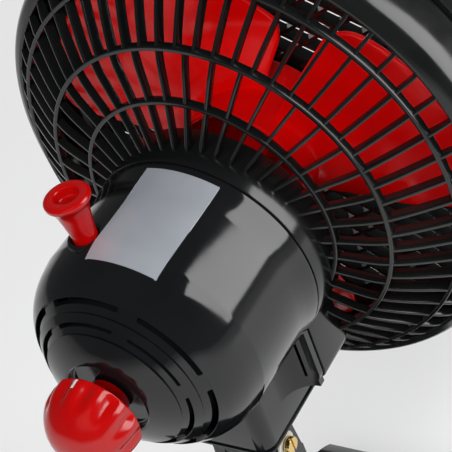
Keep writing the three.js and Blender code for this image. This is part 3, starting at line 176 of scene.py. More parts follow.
def value_at(curve: Sequence[Pair], at: float) -> float:
    """Looks a value up along a line of points.

    Args:
        curve: (place, value) points, with rising places.
        at: The place to look up.

    Returns:
        The value there, or the last one past the end.
    """
    for (p0, v0), (p1, v1) in zip(curve, curve[1:]):
        if at <= p1:
            return v0 + (v1 - v0) * (at - p0) / (p1 - p0)
    return curve[-1][1]


def around(radius: float, y: float, angle: float, drop: float = 0.0) -> Triple:
    """A point round an axis that lies drop below the fan's, at an angle from +Z toward -X."""
    return -radius * math.sin(angle), y, radius * math.cos(angle) - drop


# ------------------------------------------------------------------ shapes
class Shape:
    """Collects points and faces of one piece, in millimetres."""

    def __init__(self) -> None:
        """Starts with nothing."""
        self.points: list[Vector] = []
        self.faces: list[tuple[int, ...]] = []

    def grid(self, rows: Sequence[Sequence[Triple]], wrap_row: bool = True, wrap_rows: bool = False,
             caps: bool = False) -> "Shape":
        """Joins rows of points with four-sided faces.

        Args:
            rows: Rows with equal numbers of points.
            wrap_row: Joins the end of each row to its start.
            wrap_rows: Joins the last row to the first.
            caps: Closes the first and last row with a face each.

        Returns:
            This shape.
        """
        base, count, total = len(self.points), len(rows[0]), len(rows)
        for row in rows:
            self.points.extend(Vector(p) for p in row)
        for i in range(total if wrap_rows else total - 1):
            for j in range(count if wrap_row else count - 1):
                k, n = (i + 1) % total, (j + 1) % count
                self.faces.append((base + i * count + j, base + i * count + n,
                                   base + k * count + n, base + k * count + j))
        if caps:
            self.faces.append(tuple(base + j for j in reversed(range(count))))
            self.faces.append(tuple(base + (total - 1) * count + j for j in range(count)))
        return self

    def turn(self, profile: Sequence[Pair], segments: int, axis: str = "Y",
             centre: Triple = (0.0, 0.0, 0.0), closed: bool = False) -> "Shape":
        """Revolves a profile of (radius, along) pairs.

        Args:
            profile: The section to revolve.
            segments: Pieces round the circle.
            axis: X, Y or Z.
            centre: A point on the axis.
            closed: Whether the profile closes on itself.

        Returns:
            This shape.
        """
        rows = []
        cx, cy, cz = centre
        for i in range(segments):
            a = i / segments * TAU
            s, c = math.sin(a), math.cos(a)
            if axis == "Y":
                rows.append([(cx - r * s, cy + h, cz + r * c) for r, h in profile])
            elif axis == "Z":
                rows.append([(cx + r * c, cy + r * s, cz + h) for r, h in profile])
            else:
                rows.append([(cx + h, cy + r * c, cz + r * s) for r, h in profile])
        return self.grid(rows, wrap_row=closed, wrap_rows=True)

    def rod(self, radius: float, low: float, high: float, segments: int, axis: str = "Y",
            centre: Triple = (0.0, 0.0, 0.0)) -> "Shape":
        """Adds a solid round bar between two places along an axis; see turn."""
        return self.turn([(0, low), (radius, low), (radius, high), (0, high)], segments, axis, centre)

    def prism(self, outline: Sequence[Pair], axis: str, low: float, high: float) -> "Shape":
        """Draws an outline out along an axis.

        Args:
            outline: (y, z) for X, (x, z) for Y and (x, y) for Z.
            axis: X, Y or Z.
            low: Where it starts.
            high: Where it ends.

        Returns:
            This shape.
        """
        put: dict[str, Callable[[Pair, float], Triple]] = {
            "X": lambda p, h: (h, p[0], p[1]),
            "Y": lambda p, h: (p[0], h, p[1]),
            "Z": lambda p, h: (p[0], p[1], h),
        }
        return self.grid([[put[axis](p, h) for p in outline] for h in (low, high)], caps=True)

    def block(self, low: Triple, high: Triple) -> "Shape":
        """Adds a box between two corners."""
        outline = [(low[0], low[1]), (high[0], low[1]), (high[0], high[1]), (low[0], high[1])]
        return self.prism(outline, "Z", low[2], high[2])

    def add(self, other: "Shape") -> "Shape":
        """Takes in another shape's points and faces."""
        base = len(self.points)
        self.points.extend(other.points)
        self.faces.extend(tuple(base + i for i in face) for face in other.faces)
        return self

    def mesh(self, name: str, origin: Vector, scale: float = MM) -> bpy.types.Mesh:
        """Makes a mesh of the shape.

        Args:
            name: The mesh's name.
            origin: Where the shape's own origin lies, in millimetres.
            scale: Length of one millimetre in the mesh's unit.

        Returns:
            The mesh.
        """
        mesh = bpy.data.meshes.new(name)
        mesh.from_pydata([((p + origin) * scale)[:] for p in self.points], [], self.faces)
        work = bmesh.new()
        work.from_mesh(mesh)
        bmesh.ops.remove_doubles(work, verts=work.verts, dist=0.001 * scale)
        bmesh.ops.recalc_face_normals(work, faces=work.faces)
        work.to_mesh(mesh)
        work.free()
        return mesh


def carve(name: str, solid: Shape, origin: Vector, add: Sequence[Shape] = (),
          take: Sequence[Shape] = ()) -> bpy.types.Mesh:
    """Joins shapes to a solid and cuts others out of it.

    Args:
        name: Name of the finished mesh.
        solid: The shape to start from.
        origin: Where its own origin lies, in millimetres.
        add: Shapes joined to it, in order.
        take: Shapes cut out of it, in order.

    Returns:
        The finished mesh.
    """
    still = Vector((0.0, 0.0, 0.0))
    base = bpy.data.objects.new(name + "_blank", solid.mesh(name + "_blank", still, 1.0))
    bpy.context.scene.collection.objects.link(base)
    tools = []
    for way, shapes in (("UNION", add), ("DIFFERENCE", take)):
        for shape in shapes:
            tool = bpy.data.objects.new("tool", shape.mesh("tool", still, 1.0))
            bpy.context.scene.collection.objects.link(tool)
            step = base.modifiers.new(way.lower(), "BOOLEAN")
            step.operation, step.solver, step.object = way, "MANIFOLD", tool
            tools.append(tool)
    graph = bpy.context.evaluated_depsgraph_get()
    mesh = bpy.data.meshes.new_from_object(base.evaluated_get(graph))
    mesh.transform(Matrix.Scale(MM, 4) @ Matrix.Translation(origin))
    mesh.name = name
    for leftover in (base, *tools):
        bpy.data.objects.remove(leftover)
    return mesh


# ------------------------------------------------------------------ finishes
class Nodes:
    """Short calls for wiring one material's nodes."""

    def __init__(self, name: str) -> None:
        """Starts a node material with an empty sheet."""
        self.material = bpy.data.materials.new(name)
        self.material.use_nodes = True
        self.tree = self.material.node_tree
        self.tree.nodes.clear()
        self.coordinates = self.tree.nodes.new("ShaderNodeTexCoord")

    def add(self, kind: str, links: dict | None = None, **values: object) -> bpy.types.Node:
        """Adds a node.

        Args:
            kind: The node's type.
            links: Input name or number to the output socket that feeds it.
            **values: Properties of the node; names that it lacks are inputs.

        Returns:
            The node.
        """
        node = self.tree.nodes.new(kind)
        for key, value in values.items():
            if hasattr(node, key):
                setattr(node, key, value)
            else:
                node.inputs[key.replace("_", " ").title()].default_value = value
        for key, socket in (links or {}).items():
            self.tree.links.new(socket, node.inputs[key])
        return node

    def noise(self, scale: float, detail: float = 3.0,
              stretch: Triple = (1.0, 1.0, 1.0)) -> bpy.types.NodeSocket:
        """Noise over the piece.

        Args:
            scale: Spots per metre.
            detail: Octaves.
            stretch: Scale of each axis.

        Returns:
            The noise's factor.
        """
        place = self.add("ShaderNodeMapping", {"Vector": self.coordinates.outputs["Object"]})
        place.inputs["Scale"].default_value = stretch
        made = self.add("ShaderNodeTexNoise", {"Vector": place.outputs[0]})
        made.inputs["Scale"].default_value = scale
        made.inputs["Detail"].default_value = detail
        return made.outputs["Fac"]

    def between(self, factor: bpy.types.NodeSocket, low: float, high: float, start: float = 0.3,
                end: float = 0.7) -> bpy.types.NodeSocket:
        """Maps a factor to a range.

        Args:
            factor: What varies.
            low: Value below start.
            high: Value above end.
            start: Where the change starts.
            end: Where it ends.

        Returns:
            The mapped value.
        """
        span = self.add("ShaderNodeMapRange", {"Value": factor})
        for key, value in (("From Min", start), ("From Max", end), ("To Min", low), ("To Max", high)):
            span.inputs[key].default_value = value
        return span.outputs["Result"]

    def shades(self, factor: bpy.types.NodeSocket, first: Colour, second: Colour) -> bpy.types.NodeSocket:
        """Mixes two colours by a factor."""
        mix = self.add("ShaderNodeMix", data_type="RGBA")
        self.tree.links.new(factor, mix.inputs["Factor"])
        mix.inputs["A"].default_value = (*first, 1.0)
        mix.inputs["B"].default_value = (*second, 1.0)
        return mix.outputs["Result"]

    def spots(self, scale: float, detail: float, first: Colour, second: Colour) -> bpy.types.NodeSocket:
        """Two colours in soft spots of noise."""
        return self.shades(self.between(self.noise(scale, detail), 0.0, 1.0), first, second)

    def bump(self, height: bpy.types.NodeSocket, depth: float,
             under: bpy.types.NodeSocket | None = None) -> bpy.types.NodeSocket:
        """Raises the surface by a height.

        Args:
            height: Factor from 0 to 1.
            depth: Height of 1, in metres.
            under: A bump that lies under this one.

        Returns:
            The bumped normal.
        """
        node = self.add("ShaderNodeBump", {"Height": height})
        node.inputs["Strength"].default_value = 1.0
        node.inputs["Distance"].default_value = depth
        if under is not None:
            self.tree.links.new(under, node.inputs["Normal"])
        return node.outputs["Normal"]

    def surface(self, links: dict, **values: object) -> bpy.types.Material:
        """Ends the sheet with a Principled shader.

        Args:
            links: Shader input to the socket that feeds it.
            **values: Shader inputs that are the same all over, with _ for a space.

        Returns:
            The finished material.
        """
        shader = self.tree.nodes.new("ShaderNodeBsdfPrincipled")
        for key, value in values.items():
            shader.inputs[key.replace("_", " ")].default_value = value
        for key, socket in links.items():
            self.tree.links.new(socket, shader.inputs[key])
        out = self.tree.nodes.new("ShaderNodeOutputMaterial")
        self.tree.links.new(shader.outputs[0], out.inputs["Surface"])
        return self.material


@dataclass(frozen=True)
class Finish:
    """A finish that is made once and shared by the pieces that have it."""

    name: str
    slot: str

    def material(self) -> bpy.types.Material:
        """The material, made at its first use."""
        return bpy.data.materials.get(self.name) or self.mix()

    def mix(self) -> bpy.types.Material:
        """Makes the material."""
        raise NotImplementedError


@dataclass(frozen=True)
class MouldedPlastic(Finish):
    """Moulded plastic: faint orange peel, uneven gloss and a little dust in its tone."""

    colour: Colour = (0.01, 0.01, 0.01)
    tint: Colour = (0.014, 0.014, 0.015)
    gloss: tuple[float, float] = (0.1, 0.18)
    peel: float = 0.00002
    grain: float = 0.0

    def mix(self) -> bpy.types.Material:
        """Makes the material."""
        n = Nodes(self.name)
        tone = n.noise(26.0, 4.0)
        peel = n.bump(n.noise(190.0, 2.0), self.peel)
        if self.grain:
            peel = n.bump(n.noise(2600.0, 2.0), self.grain, peel)
        return n.surface({
            "Base Color": n.shades(n.between(tone, 0.0, 1.0), self.colour, self.tint),
            "Roughness": n.between(n.noise(70.0, 5.0), *self.gloss),
            "Normal": peel,
        }, IOR=1.5)


@dataclass(frozen=True)
class DrawnMetal(Finish):
    """Plated or drawn metal with fine lines along one axis."""

    colour: Colour = (0.6, 0.6, 0.62)
    dull: Colour = (0.45, 0.45, 0.47)
    gloss: tuple[float, float] = (0.22, 0.38)
    lines: Triple = (1.0, 30.0, 30.0)

    def mix(self) -> bpy.types.Material:
        """Makes the material."""
        n = Nodes(self.name)
        lines = n.noise(60.0, 6.0, self.lines)
        return n.surface({
            "Base Color": n.spots(45.0, 4.0, self.colour, self.dull),
            "Roughness": n.between(lines, *self.gloss),
            "Normal": n.bump(lines, 0.00002),
        }, Metallic=1.0)


@dataclass(frozen=True)
class PlateFilm(Finish):
    """The bare silver film of the rating plate."""

    colour: Colour = (0.36, 0.385, 0.43)
    tint: Colour = (0.42, 0.44, 0.48)

    def mix(self) -> bpy.types.Material:
        """Makes the material."""
        n = Nodes(self.name)
        fine = n.noise(1500.0, 2.0)
        return n.surface({
            "Base Color": n.spots(60.0, 3.0, self.colour, self.tint),
            "Roughness": n.between(fine, 0.34, 0.44),
            "Normal": n.bump(fine, 0.000004),
        }, Metallic=0.35)


@dataclass(frozen=True)
class SoftRubber(Finish):
    """Matt rubber with a fine dusty grain."""

    colour: Colour = (0.018, 0.018, 0.018)
    dust: Colour = (0.035, 0.034, 0.033)

    def mix(self) -> bpy.types.Material:
        """Makes the material."""
        n = Nodes(self.name)
        return n.surface({
            "Base Color": n.spots(120.0, 6.0, self.colour, self.dust),
            "Roughness": n.between(n.noise(300.0, 3.0), 0.68, 0.9),
            "Normal": n.bump(n.noise(1400.0, 3.0), 0.00004),
        })


@dataclass(frozen=True)
class Banded(Finish):
    """Thin layers along one axis: steel laminations or copper turns."""

    colour: Colour = (0.3, 0.3, 0.32)
    groove: Colour = (0.1, 0.1, 0.1)
    pitch: float = 0.0005
    axis: str = "Y"
    gloss: tuple[float, float] = (0.35, 0.5)

    def mix(self) -> bpy.types.Material:
        """Makes the material."""
        n = Nodes(self.name)
        wave = n.add("ShaderNodeTexWave", {"Vector": n.coordinates.outputs["Object"]},
                     wave_type="BANDS", bands_direction=self.axis)
        wave.inputs["Scale"].default_value = 0.314 / self.pitch
        wave.inputs["Distortion"].default_value = 0.4
        return n.surface({
            "Base Color": n.shades(wave.outputs["Fac"], self.groove, self.colour),
            "Roughness": n.between(n.noise(90.0, 4.0), *self.gloss),
            "Normal": n.bump(wave.outputs["Fac"], self.pitch * 0.4),
        }, Metallic=0.9)


BLACK = MouldedPlastic("black_gloss", "gloss_black", (0.0045, 0.0048, 0.0055), (0.008, 0.0085, 0.0095),
                       (0.07, 0.13), 0.000012)
CAGE_BLACK = MouldedPlastic("cage_black", "gloss_black", (0.004, 0.0043, 0.0045), (0.0085, 0.009, 0.0088),
                            (0.10, 0.2), 0.00002)
SATIN = MouldedPlastic("black_satin", "satin_black", (0.012, 0.012, 0.013), (0.02, 0.02, 0.021),
                       (0.32, 0.45), 0.00003, 0.00001)
# The blades' red is painted brighter than the knobs' red of the same plastic: painted light standing in for
# the light that the cage keeps off the blades.
BLADE_RED_PAINTED_LIGHT = MouldedPlastic("blade_red_painted_light", "gloss_red", (0.86, 0.0015, 0.0015), (0.78, 0.001, 0.001),
                           (0.12, 0.22), 0.00002)
KNOB_RED = MouldedPlastic("knob_red", "gloss_red", (0.43, 0.0012, 0.0012), (0.37, 0.001, 0.001),
                          (0.12, 0.2), 0.00002)
NATURAL = MouldedPlastic("nylon_natural", "nylon", (0.62, 0.60, 0.54), (0.7, 0.68, 0.62),
                         (0.38, 0.5), 0.00003, 0.00001)
PAINT_WHITE = MouldedPlastic("mark_white", "nylon", (0.75, 0.74, 0.72), (0.6, 0.59, 0.57), (0.4, 0.5))
STEEL = DrawnMetal("steel_zinc", "steel")
BRASS = DrawnMetal("brass_bright", "brass", (0.78, 0.58, 0.24), (0.62, 0.44, 0.17), (0.16, 0.3))
SILVER = PlateFilm("plate_silver", "steel")
RUBBER = SoftRubber("rubber_black", "rubber")
IRON = Banded("iron_layers", "iron")
COPPER = Banded("copper_turns", "copper", (0.72, 0.33, 0.14), (0.22, 0.07, 0.03), 0.00035, "Z", (0.25, 0.38))


def put(mesh: bpy.types.Mesh, name: str, body: Body, finish: Finish, stands_for: Sequence[str] = (),
        bevel: float = 0.0, crease: float = 35.0) -> bpy.types.Object:
    """Places a mesh in the scene as a finished piece.

    Args:
        mesh: The mesh, in metres, in the row frame.
        name: The piece's name.
        body: What it rides on.
        finish: What it is made of.
        stands_for: CAD nodes that it replaces.
        bevel: Width of the softened edges, in millimetres.
        crease: Edges sharper than this stay sharp, or are softened, in degrees.

    Returns:
        The piece.
    """
    mesh.name = name
    mesh.materials.clear()
    mesh.materials.append(finish.material())
    mesh.shade_smooth()
    piece = bpy.data.objects.new(name, mesh)
    bpy.context.scene.collection.objects.link(piece)
    if bevel:
        edge = piece.modifiers.new("soft_edges", "BEVEL")
        edge.width, edge.segments = bevel * MM, 2
        edge.limit_method, edge.angle_limit = "ANGLE", math.radians(crease)
        edge.use_clamp_overlap = True
        even = piece.modifiers.new("even_shading", "WEIGHTED_NORMAL")
        even.keep_sharp = False
    else:
        mesh.set_sharp_from_angle(angle=math.radians(crease))
    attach(piece, body.value)
    if stands_for:
        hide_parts(*stands_for)
    LOG.info("%s: %d faces on %s", name, len(mesh.polygons), body.value)
    return piece


@dataclass
class Part:
    """A sub-assembly: a place for its origin and a way to make its pieces."""

    place: Place = Place.HEAD

    @property
    def origin(self) -> Vector:
        """The sub-assembly's origin in the row frame, in millimetres."""
        return Vector(self.place.value)

    def piece(self, shape: Shape, name: str, body: Body, finish: Finish, stands_for: Sequence[str] = (),
              bevel: float = 0.0, crease: float = 35.0) -> bpy.types.Object:
        """Makes a piece of a shape in this sub-assembly's frame; see put for the rest."""
        return put(shape.mesh(name, self.origin), name, body, finish, stands_for, bevel, crease)

    def build(self) -> None:
        """Makes the sub-assembly's pieces."""
        raise NotImplementedError


# ------------------------------------------------------------------ motor seat
@dataclass(frozen=True)
class SeatOutline:
    """The motor seat seen from behind: round above, with a square-ended tail below."""

    radius: float = 45.0
    drop: float = 12.2
    tail_half: float = 34.0
    tail_drop: float = 70.0
    corner: float = 6.0

    def points(self, offset: float) -> list[Pair]:
        """The outline, moved outward by offset."""
        arc_steps = 96
        radius, half = self.radius + offset, self.tail_half + offset
        bottom = -(self.tail_drop + offset)
        start = -math.acos(half / radius)
        points = []
        for i in range(arc_steps + 1):
            angle = start + (math.pi - 2 * start) * i / arc_steps
            points.append((radius * math.cos(angle), radius * math.sin(angle) - self.drop))
        for side in (-1, 1):
            for i in range(9):
                t = i / 8 if side < 0 else 1 - i / 8
                angle = t * math.pi / 2
                points.append((side * (half - self.corner + self.corner * math.cos(angle)),
                               bottom + self.corner - self.corner * math.sin(angle)))
        return points

    def reach(self, angle: float, inset: float) -> float:
        """Distance from the fan axis to the outline.

        Args:
            angle: Direction, in radians from +Z toward -X.
            inset: How far inside the outline to stop.

        Returns:
            The distance, in millimetres.
        """
        x, z = -math.sin(angle), math.cos(angle)
        radius = self.radius - inset
        # the circle, centred below the fan axis
        along = -z * self.drop
        far = along + math.sqrt(along * along - self.drop ** 2 + radius ** 2)
        half, bottom = self.tail_half - inset, self.tail_drop - inset
        centre_half = math.sqrt(max(radius ** 2 - half ** 2, 0.0))
        if z * far < -self.drop - centre_half or (z < 0 and abs(x) * bottom / -z < half):
            side = half / abs(x) if abs(x) > 1e-6 else 1e9
            far = max(far, min(side, bottom / -z))
        return far


SEAT = SeatOutline()


# ------------------------------------------------------------------ rear guard
@dataclass
class RearGuard(Part):
    """The ribbed rear cage with its rings, rim and motor seat."""

    rings: tuple[Pair, ...] = ((49.5, 18.9), (68.0, 13.1), (88.0, 0.0))
    ring_width: float = 1.7
    ring_depth: float = 3.3
    inner_ribs: int = 40
    outer_ribs: int = 60
    rib_width: float = 1.35
    rib_depths: Pair = (3.4, 4.8)
    join: float = 67.6
    rib_end: float = 97.4
    buried: float = 1.3
    section: tuple[Pair, ...] = ((27.0, 26.0), (49.5, 18.9), (68.0, 13.1), (88.0, 0.0), (94.0, -4.9),
                                 (98.2, -9.8))
    seat_front: float = 11.0
    seat_back: float = 29.7
    wall: float = 2.6

    def depth_at(self, radius: float) -> float:
        """Front-to-back place of the cage's outside at a radius."""
        return value_at(smooth_curve(self.section, 6), radius)

    def rib(self, angle: float, start: float, end: float, tall: float) -> Shape:
        """One rib: a thin fin with a softened outer edge, its sides along the fan axis.

        Args:
            angle: Direction from the fan axis, from +Z toward -X.
            start: Radius where it starts.
            end: Radius where it ends.
            tall: How far it reaches toward the front.

        Returns:
            The rib's shape.
        """
        half, soft = self.rib_width / 2, 0.4
        section = [(-half + 0.05, -tall), (-half, -soft), (-half + soft * 0.35, -soft * 0.3),
                   (-half + soft, 0.0), (half - soft, 0.0), (half - soft * 0.35, -soft * 0.3),
                   (half, -soft), (half - 0.05, -tall)]
        s, c = math.sin(angle), math.cos(angle)
        rows = []
        steps = max(5, int((end - start) / 3))
        for i in range(steps + 1):
            radius = start + (end - start) * i / steps
            depth = self.depth_at(radius)
            shrink = 1.0 - 0.4 * max(0.0, (radius - 88.0) / 10.0)
            rows.append([(-radius * s - across * c, depth + lift * shrink, radius * c - across * s)
                         for across, lift in section])
        return Shape().grid(rows, caps=True)

    def ring(self, radius: float, depth: float) -> Shape:
        """One narrow deep ring, left out where the motor seat's wall takes its place.

        Args:
            radius: Radius of its middle.
            depth: Front-to-back place of its rear edge.

        Returns:
            The ring's shape.
        """
        inner, outer = radius - self.ring_width / 2, radius + self.ring_width / 2
        rear, front = depth + 0.25, depth - self.ring_depth
        section = rounded([(inner, rear), (outer, rear), (outer, front), (inner, front)], 0.45, 3)
        count = 360
        keep = [SEAT.reach(i / count * TAU, 1.0) < radius for i in range(count)]
        shape = Shape()

        def row(i: int) -> list[Triple]:
            """Section points at one step round the ring."""
            return [around(r, y, i / count * TAU) for r, y in section]

        if all(keep):
            return shape.grid([row(i) for i in range(count)], wrap_rows=True)
        start = next(i for i in range(count) if keep[i] and not keep[i - 1])
        rows = []
        for step in range(count + 1):
            i = (start + step) % count
            if keep[i]:
                rows.append(row(i))
            elif rows:
                shape.grid(rows, caps=True)
                rows = []
        if len(rows) > 1:
            shape.grid(rows, caps=True)
        return shape

    def rim(self) -> Shape:
        """The rounded rim that the ribs run into."""
        outside = smooth_curve([(96.4, -6.6), (99.2, -8.4), (101.0, -11.6), (101.7, -16.0), (101.9, -22.0),
                                (102.0, -28.9)], 5)
        inside = [(99.9, -28.9), (99.8, -23.5), (98.9, -18.0), (96.6, -12.5), (94.7, -8.4)]
        lip = rounded([*outside[-2:], *inside[:2]], 0.5, 3, closed=False)
        profile = outside[:-2] + lip + inside[2:]
        back = rounded([inside[-1], (94.9, -6.5), outside[0]], 0.8, 3, closed=False)
        return Shape().turn(profile + back[1:-1], 240, closed=True)

    def seat(self) -> Shape:
        """The cup that carries the motor, with its floor."""
        front, back, wall = self.seat_front, self.seat_back, self.wall
        levels = [(0.0, front + 0.8), (0.0, back - 0.7), (-0.2, back - 0.2), (-0.7, back),
                  (0.5 - wall, back), (-wall, back - 0.5), (-wall, front + 3.0)]
        rows = [[(x, front, z) for x, z in SEAT.points(-0.8)]]
        rows += [[(x, y, z) for x, z in SEAT.points(offset)] for offset, y in levels]
        return Shape().grid(rows, caps=True)

    def build(self) -> None:
        """Makes the cage."""
        cage = Shape()
        for i in range(self.inner_ribs):
            angle = i / self.inner_ribs * TAU
            cage.add(self.rib(angle, SEAT.reach(angle, self.buried), self.join, self.rib_depths[0]))
        for i in range(self.outer_ribs):
            angle = i / self.outer_ribs * TAU
            start = max(self.join, SEAT.reach(angle, self.buried))
            cage.add(self.rib(angle, start, self.rib_end, self.rib_depths[1]))
        for radius, depth in self.rings:
            cage.add(self.ring(radius, depth))
        cage.add(self.rim()).add(self.seat())
        cage.add(Shape().turn(rounded([(0.2, 13.0), (3.6, 13.0), (3.6, 19.7), (0.2, 19.7)], 0.4, 2), 24,
                              centre=(0, 0, 18.5)))
        self.piece(cage, "rear_cage", Body.HEAD, CAGE_BLACK, ("rear_guard",))


# ------------------------------------------------------------------ front grille
@dataclass
class FrontGrille(Part):
    """The front grille: a net of crossing bars, a bare badge disc and the skirt."""

    face: float = -47.0
    badge: float = 24.0
    outer: float = 94.0
    half_width: float = 7.8
    half_height: float = 4.2
    phases: Pair = (0.78, 0.50)
    bar_width: float = 1.4
    depth: float = 5.6

    def plane_at(self, radius: float) -> float:
        """Front face of the grille at a radius: gently domed."""
        t = max(0.0, (radius - self.badge) / (self.outer - self.badge))
        return self.face + 5.0 * t ** 3

    def bar(self, start: Vector, end: Vector) -> Shape:
        """A bar of the net that follows the dome.

        Args:
            start: Where it starts, seen along the fan axis.
            end: Where it ends.

        Returns:
            The bar's shape.
        """
        way = end - start
        side = way.orthogonal().normalized() * self.bar_width / 2
        steps = max(2, int(way.length / 9))
        rows = []
        for i in range(steps + 1):
            spot = start + way * (i / steps)
            y = self.plane_at(spot.length)
            low, high, soft = spot - side, spot + side, side * 0.45
            rows.append([(low.x, y + self.depth, low.y), (low.x, y + 0.4, low.y),
                         (low.x + soft.x, y, low.y + soft.y), (high.x - soft.x, y, high.y - soft.y),
                         (high.x, y + 0.4, high.y), (high.x, y + self.depth, high.y)])
        return Shape().grid(rows, caps=True)

    def net(self) -> Shape:
        """Both sets of bars, with a small stud at each crossing."""
        shape = Shape()
        slant = math.hypot(self.half_width, self.half_height)
        pitch = 2 * self.half_width * self.half_height / slant
        count = int(self.outer / pitch) + 1
        for lean, phase in zip((1, -1), self.phases):
            way = Vector((self.half_width, lean * self.half_height)) / slant
            across = Vector((-way.y, way.x)) * lean
            for k in range(-count - 1, count + 1):
                offset = (k + phase) * pitch
                if abs(offset) > self.outer - 3:
                    continue
                far = math.sqrt((self.outer - 0.6) ** 2 - offset ** 2)
                near = math.sqrt(max((self.badge + 0.4) ** 2 - offset ** 2, 0.0))
                middle = across * offset * lean
                if near > 0:
                    shape.add(self.bar(middle - way * far, middle - way * near))
                    shape.add(self.bar(middle + way * near, middle + way * far))
                else:
                    shape.add(self.bar(middle - way * far, middle + way * far))
        for i in range(-count - 1, count + 1):
            for j in range(-count - 1, count + 1):
                first, second = (i + self.phases[0]) * pitch, (j + self.phases[1]) * pitch
                x = slant * (second - first) / (2 * self.half_height)
                z = slant * (first + second) / (2 * self.half_width)
                if self.badge + 2 < math.hypot(x, z) < self.outer - 2.5:
                    shape.add(self.stud(x, z))
        return shape

    def stud(self, x: float, z: float) -> Shape:
        """The stud of one crossing, domed at both ends."""
        low = self.plane_at(math.hypot(x, z)) - 0.25
        high = low + self.depth + 0.6
        profile = [(0.0, low), (0.7, low + 0.12), (1.0, low + 0.45), (1.0, high - 0.45), (0.7, high - 0.12),
                   (0.0, high)]
        return Shape().turn(profile, 10, centre=(x, 0.0, z))

    def skirt(self) -> Shape:
        """The skirt that closes over the rear guard's rim."""
        outside = smooth_curve([(92.4, -42.4), (95.5, -41.6), (98.6, -40.0), (101.0, -38.4), (102.6, -35.6),
                                (103.3, -32.2), (103.4, -29.6)], 4)
        inside = [(99.5, -29.3), (99.5, -25.2), (97.7, -25.0), (97.5, -34.5), (95.6, -37.6), (92.4, -39.8)]
        return Shape().turn(outside + rounded(inside, 0.6, 2, closed=False), 240, closed=True)

    def badge_disc(self) -> Shape:
        """The bare disc in the middle, with a raised border."""
        y = self.face
        front = [(0.0, y + 0.1), (18.6, y + 0.35), (19.6, y + 0.8), (20.6, y + 0.8), (21.2, y + 0.1),
                 (22.2, y - 0.0), (24.3, y), (24.9, y + 0.5)]
        return Shape().turn(front + [(24.9, y + 2.6), (23.4, y + 3.0), (0.0, y + 3.0)], 120)

    def build(self) -> None:
        """Makes the grille."""
        shape = self.net().add(self.skirt()).add(self.badge_disc())
        self.piece(shape, "grille", Body.HEAD, CAGE_BLACK, ("front_grille",))


# ------------------------------------------------------------------ impeller
@dataclass
class Impeller(Part):
    """Three broad swept blades on a cup-shaped hub."""

    blades: int = 3
    hub: float = 26.0
    hub_front: float = -41.8
    first: float = 40.5
    span: float = 101.0
    rear: float = -14.5
    sweep: float = 22.5
    camber: float = 1.5
    thickness: float = 1.6
    outline: tuple[Pair, ...] = ((71.0, -0.02), (73.5, 0.0), (79.5, 0.025), (83.2, 0.065), (84.8, 0.15),
                                 (86.0, 0.32), (86.4, 0.50), (85.0, 0.62), (80.5, 0.69), (73.5, 0.735),
                                 (65.4, 0.789), (58.6, 0.846), (53.8, 0.90), (51.0, 0.935), (48.6, 0.965),
                                 (44.5, 0.988), (41.0, 1.0), (38.0, 1.02))

    def reach(self, u: float) -> float:
        """How far out a blade reaches at a share of its span."""
        return value_at([(share, r) for r, share in smooth_curve(self.outline, 4)], u)

    def blade(self, start: float) -> Shape:
        """One blade with rounded edges.

        Args:
            start: Angle of its rear edge, in degrees from +Z toward -X.

        Returns:
            The blade's shape.
        """
        along, across = 64, 18
        root = self.hub - 1.0

        def spot(u: float, v: float, side: float) -> Triple:
            """A point of the blade's skin at (u, v), on one side of its middle."""
            tip = self.reach(u)
            r = root + (tip - root) * v
            angle = math.radians(start + self.span * u)
            twist = 0.4 + 0.6 * math.sin(math.pi / 2 * min(1.0, (r - root) / self.hub)) ** 1.8
            depth = self.rear - self.sweep * u * twist + self.camber * math.sin(math.pi * u)
            near = min(u, 1 - u) * self.span * DEGREE * max(r, 1.0)
            rim = min(near, (1 - v) * (tip - root))
            swell = min(1.0, math.sqrt(max(rim, 0.0)))
            return around(r, depth + self.thickness * (0.5 + 0.5 * side * swell), angle)

        def eased(k: int, total: int) -> float:
            """Steps that crowd toward both ends."""
            return 0.5 - 0.5 * math.cos(math.pi * k / total)

        rows = []
        for i in range(along + 1):
            u = eased(i, along)
            vs = [math.sin(k / across * math.pi / 2) for k in range(across + 1)]
            rows.append([spot(u, v, -1) for v in vs] + [spot(u, v, 1) for v in reversed(vs)])
        return Shape().grid(rows, caps=True)

    def build(self) -> None:
        """Makes the impeller."""
        shape = Shape()
        for i in range(self.blades):
            shape.add(self.blade(self.first + i * 360 / self.blades))
        r, front = self.hub, self.hub_front
        wall = r - 2.2
        cup = rounded([(3.3, front), (r - 4.0, front), (r, front + 4.0), (r, -5.0), (wall, -5.0),
                       (wall, front + 6), (r - 5, front + 3.4), (7.0, front + 3.4), (6.4, -7.0),
                       (3.3, -7.0)], 1.0, 4)
        shape.add(Shape().turn(cup, 96, closed=True))
        self.piece(shape, "impeller_red", Body.FAN, BLADE_RED_PAINTED_LIGHT, ("impeller",), crease=50.0)


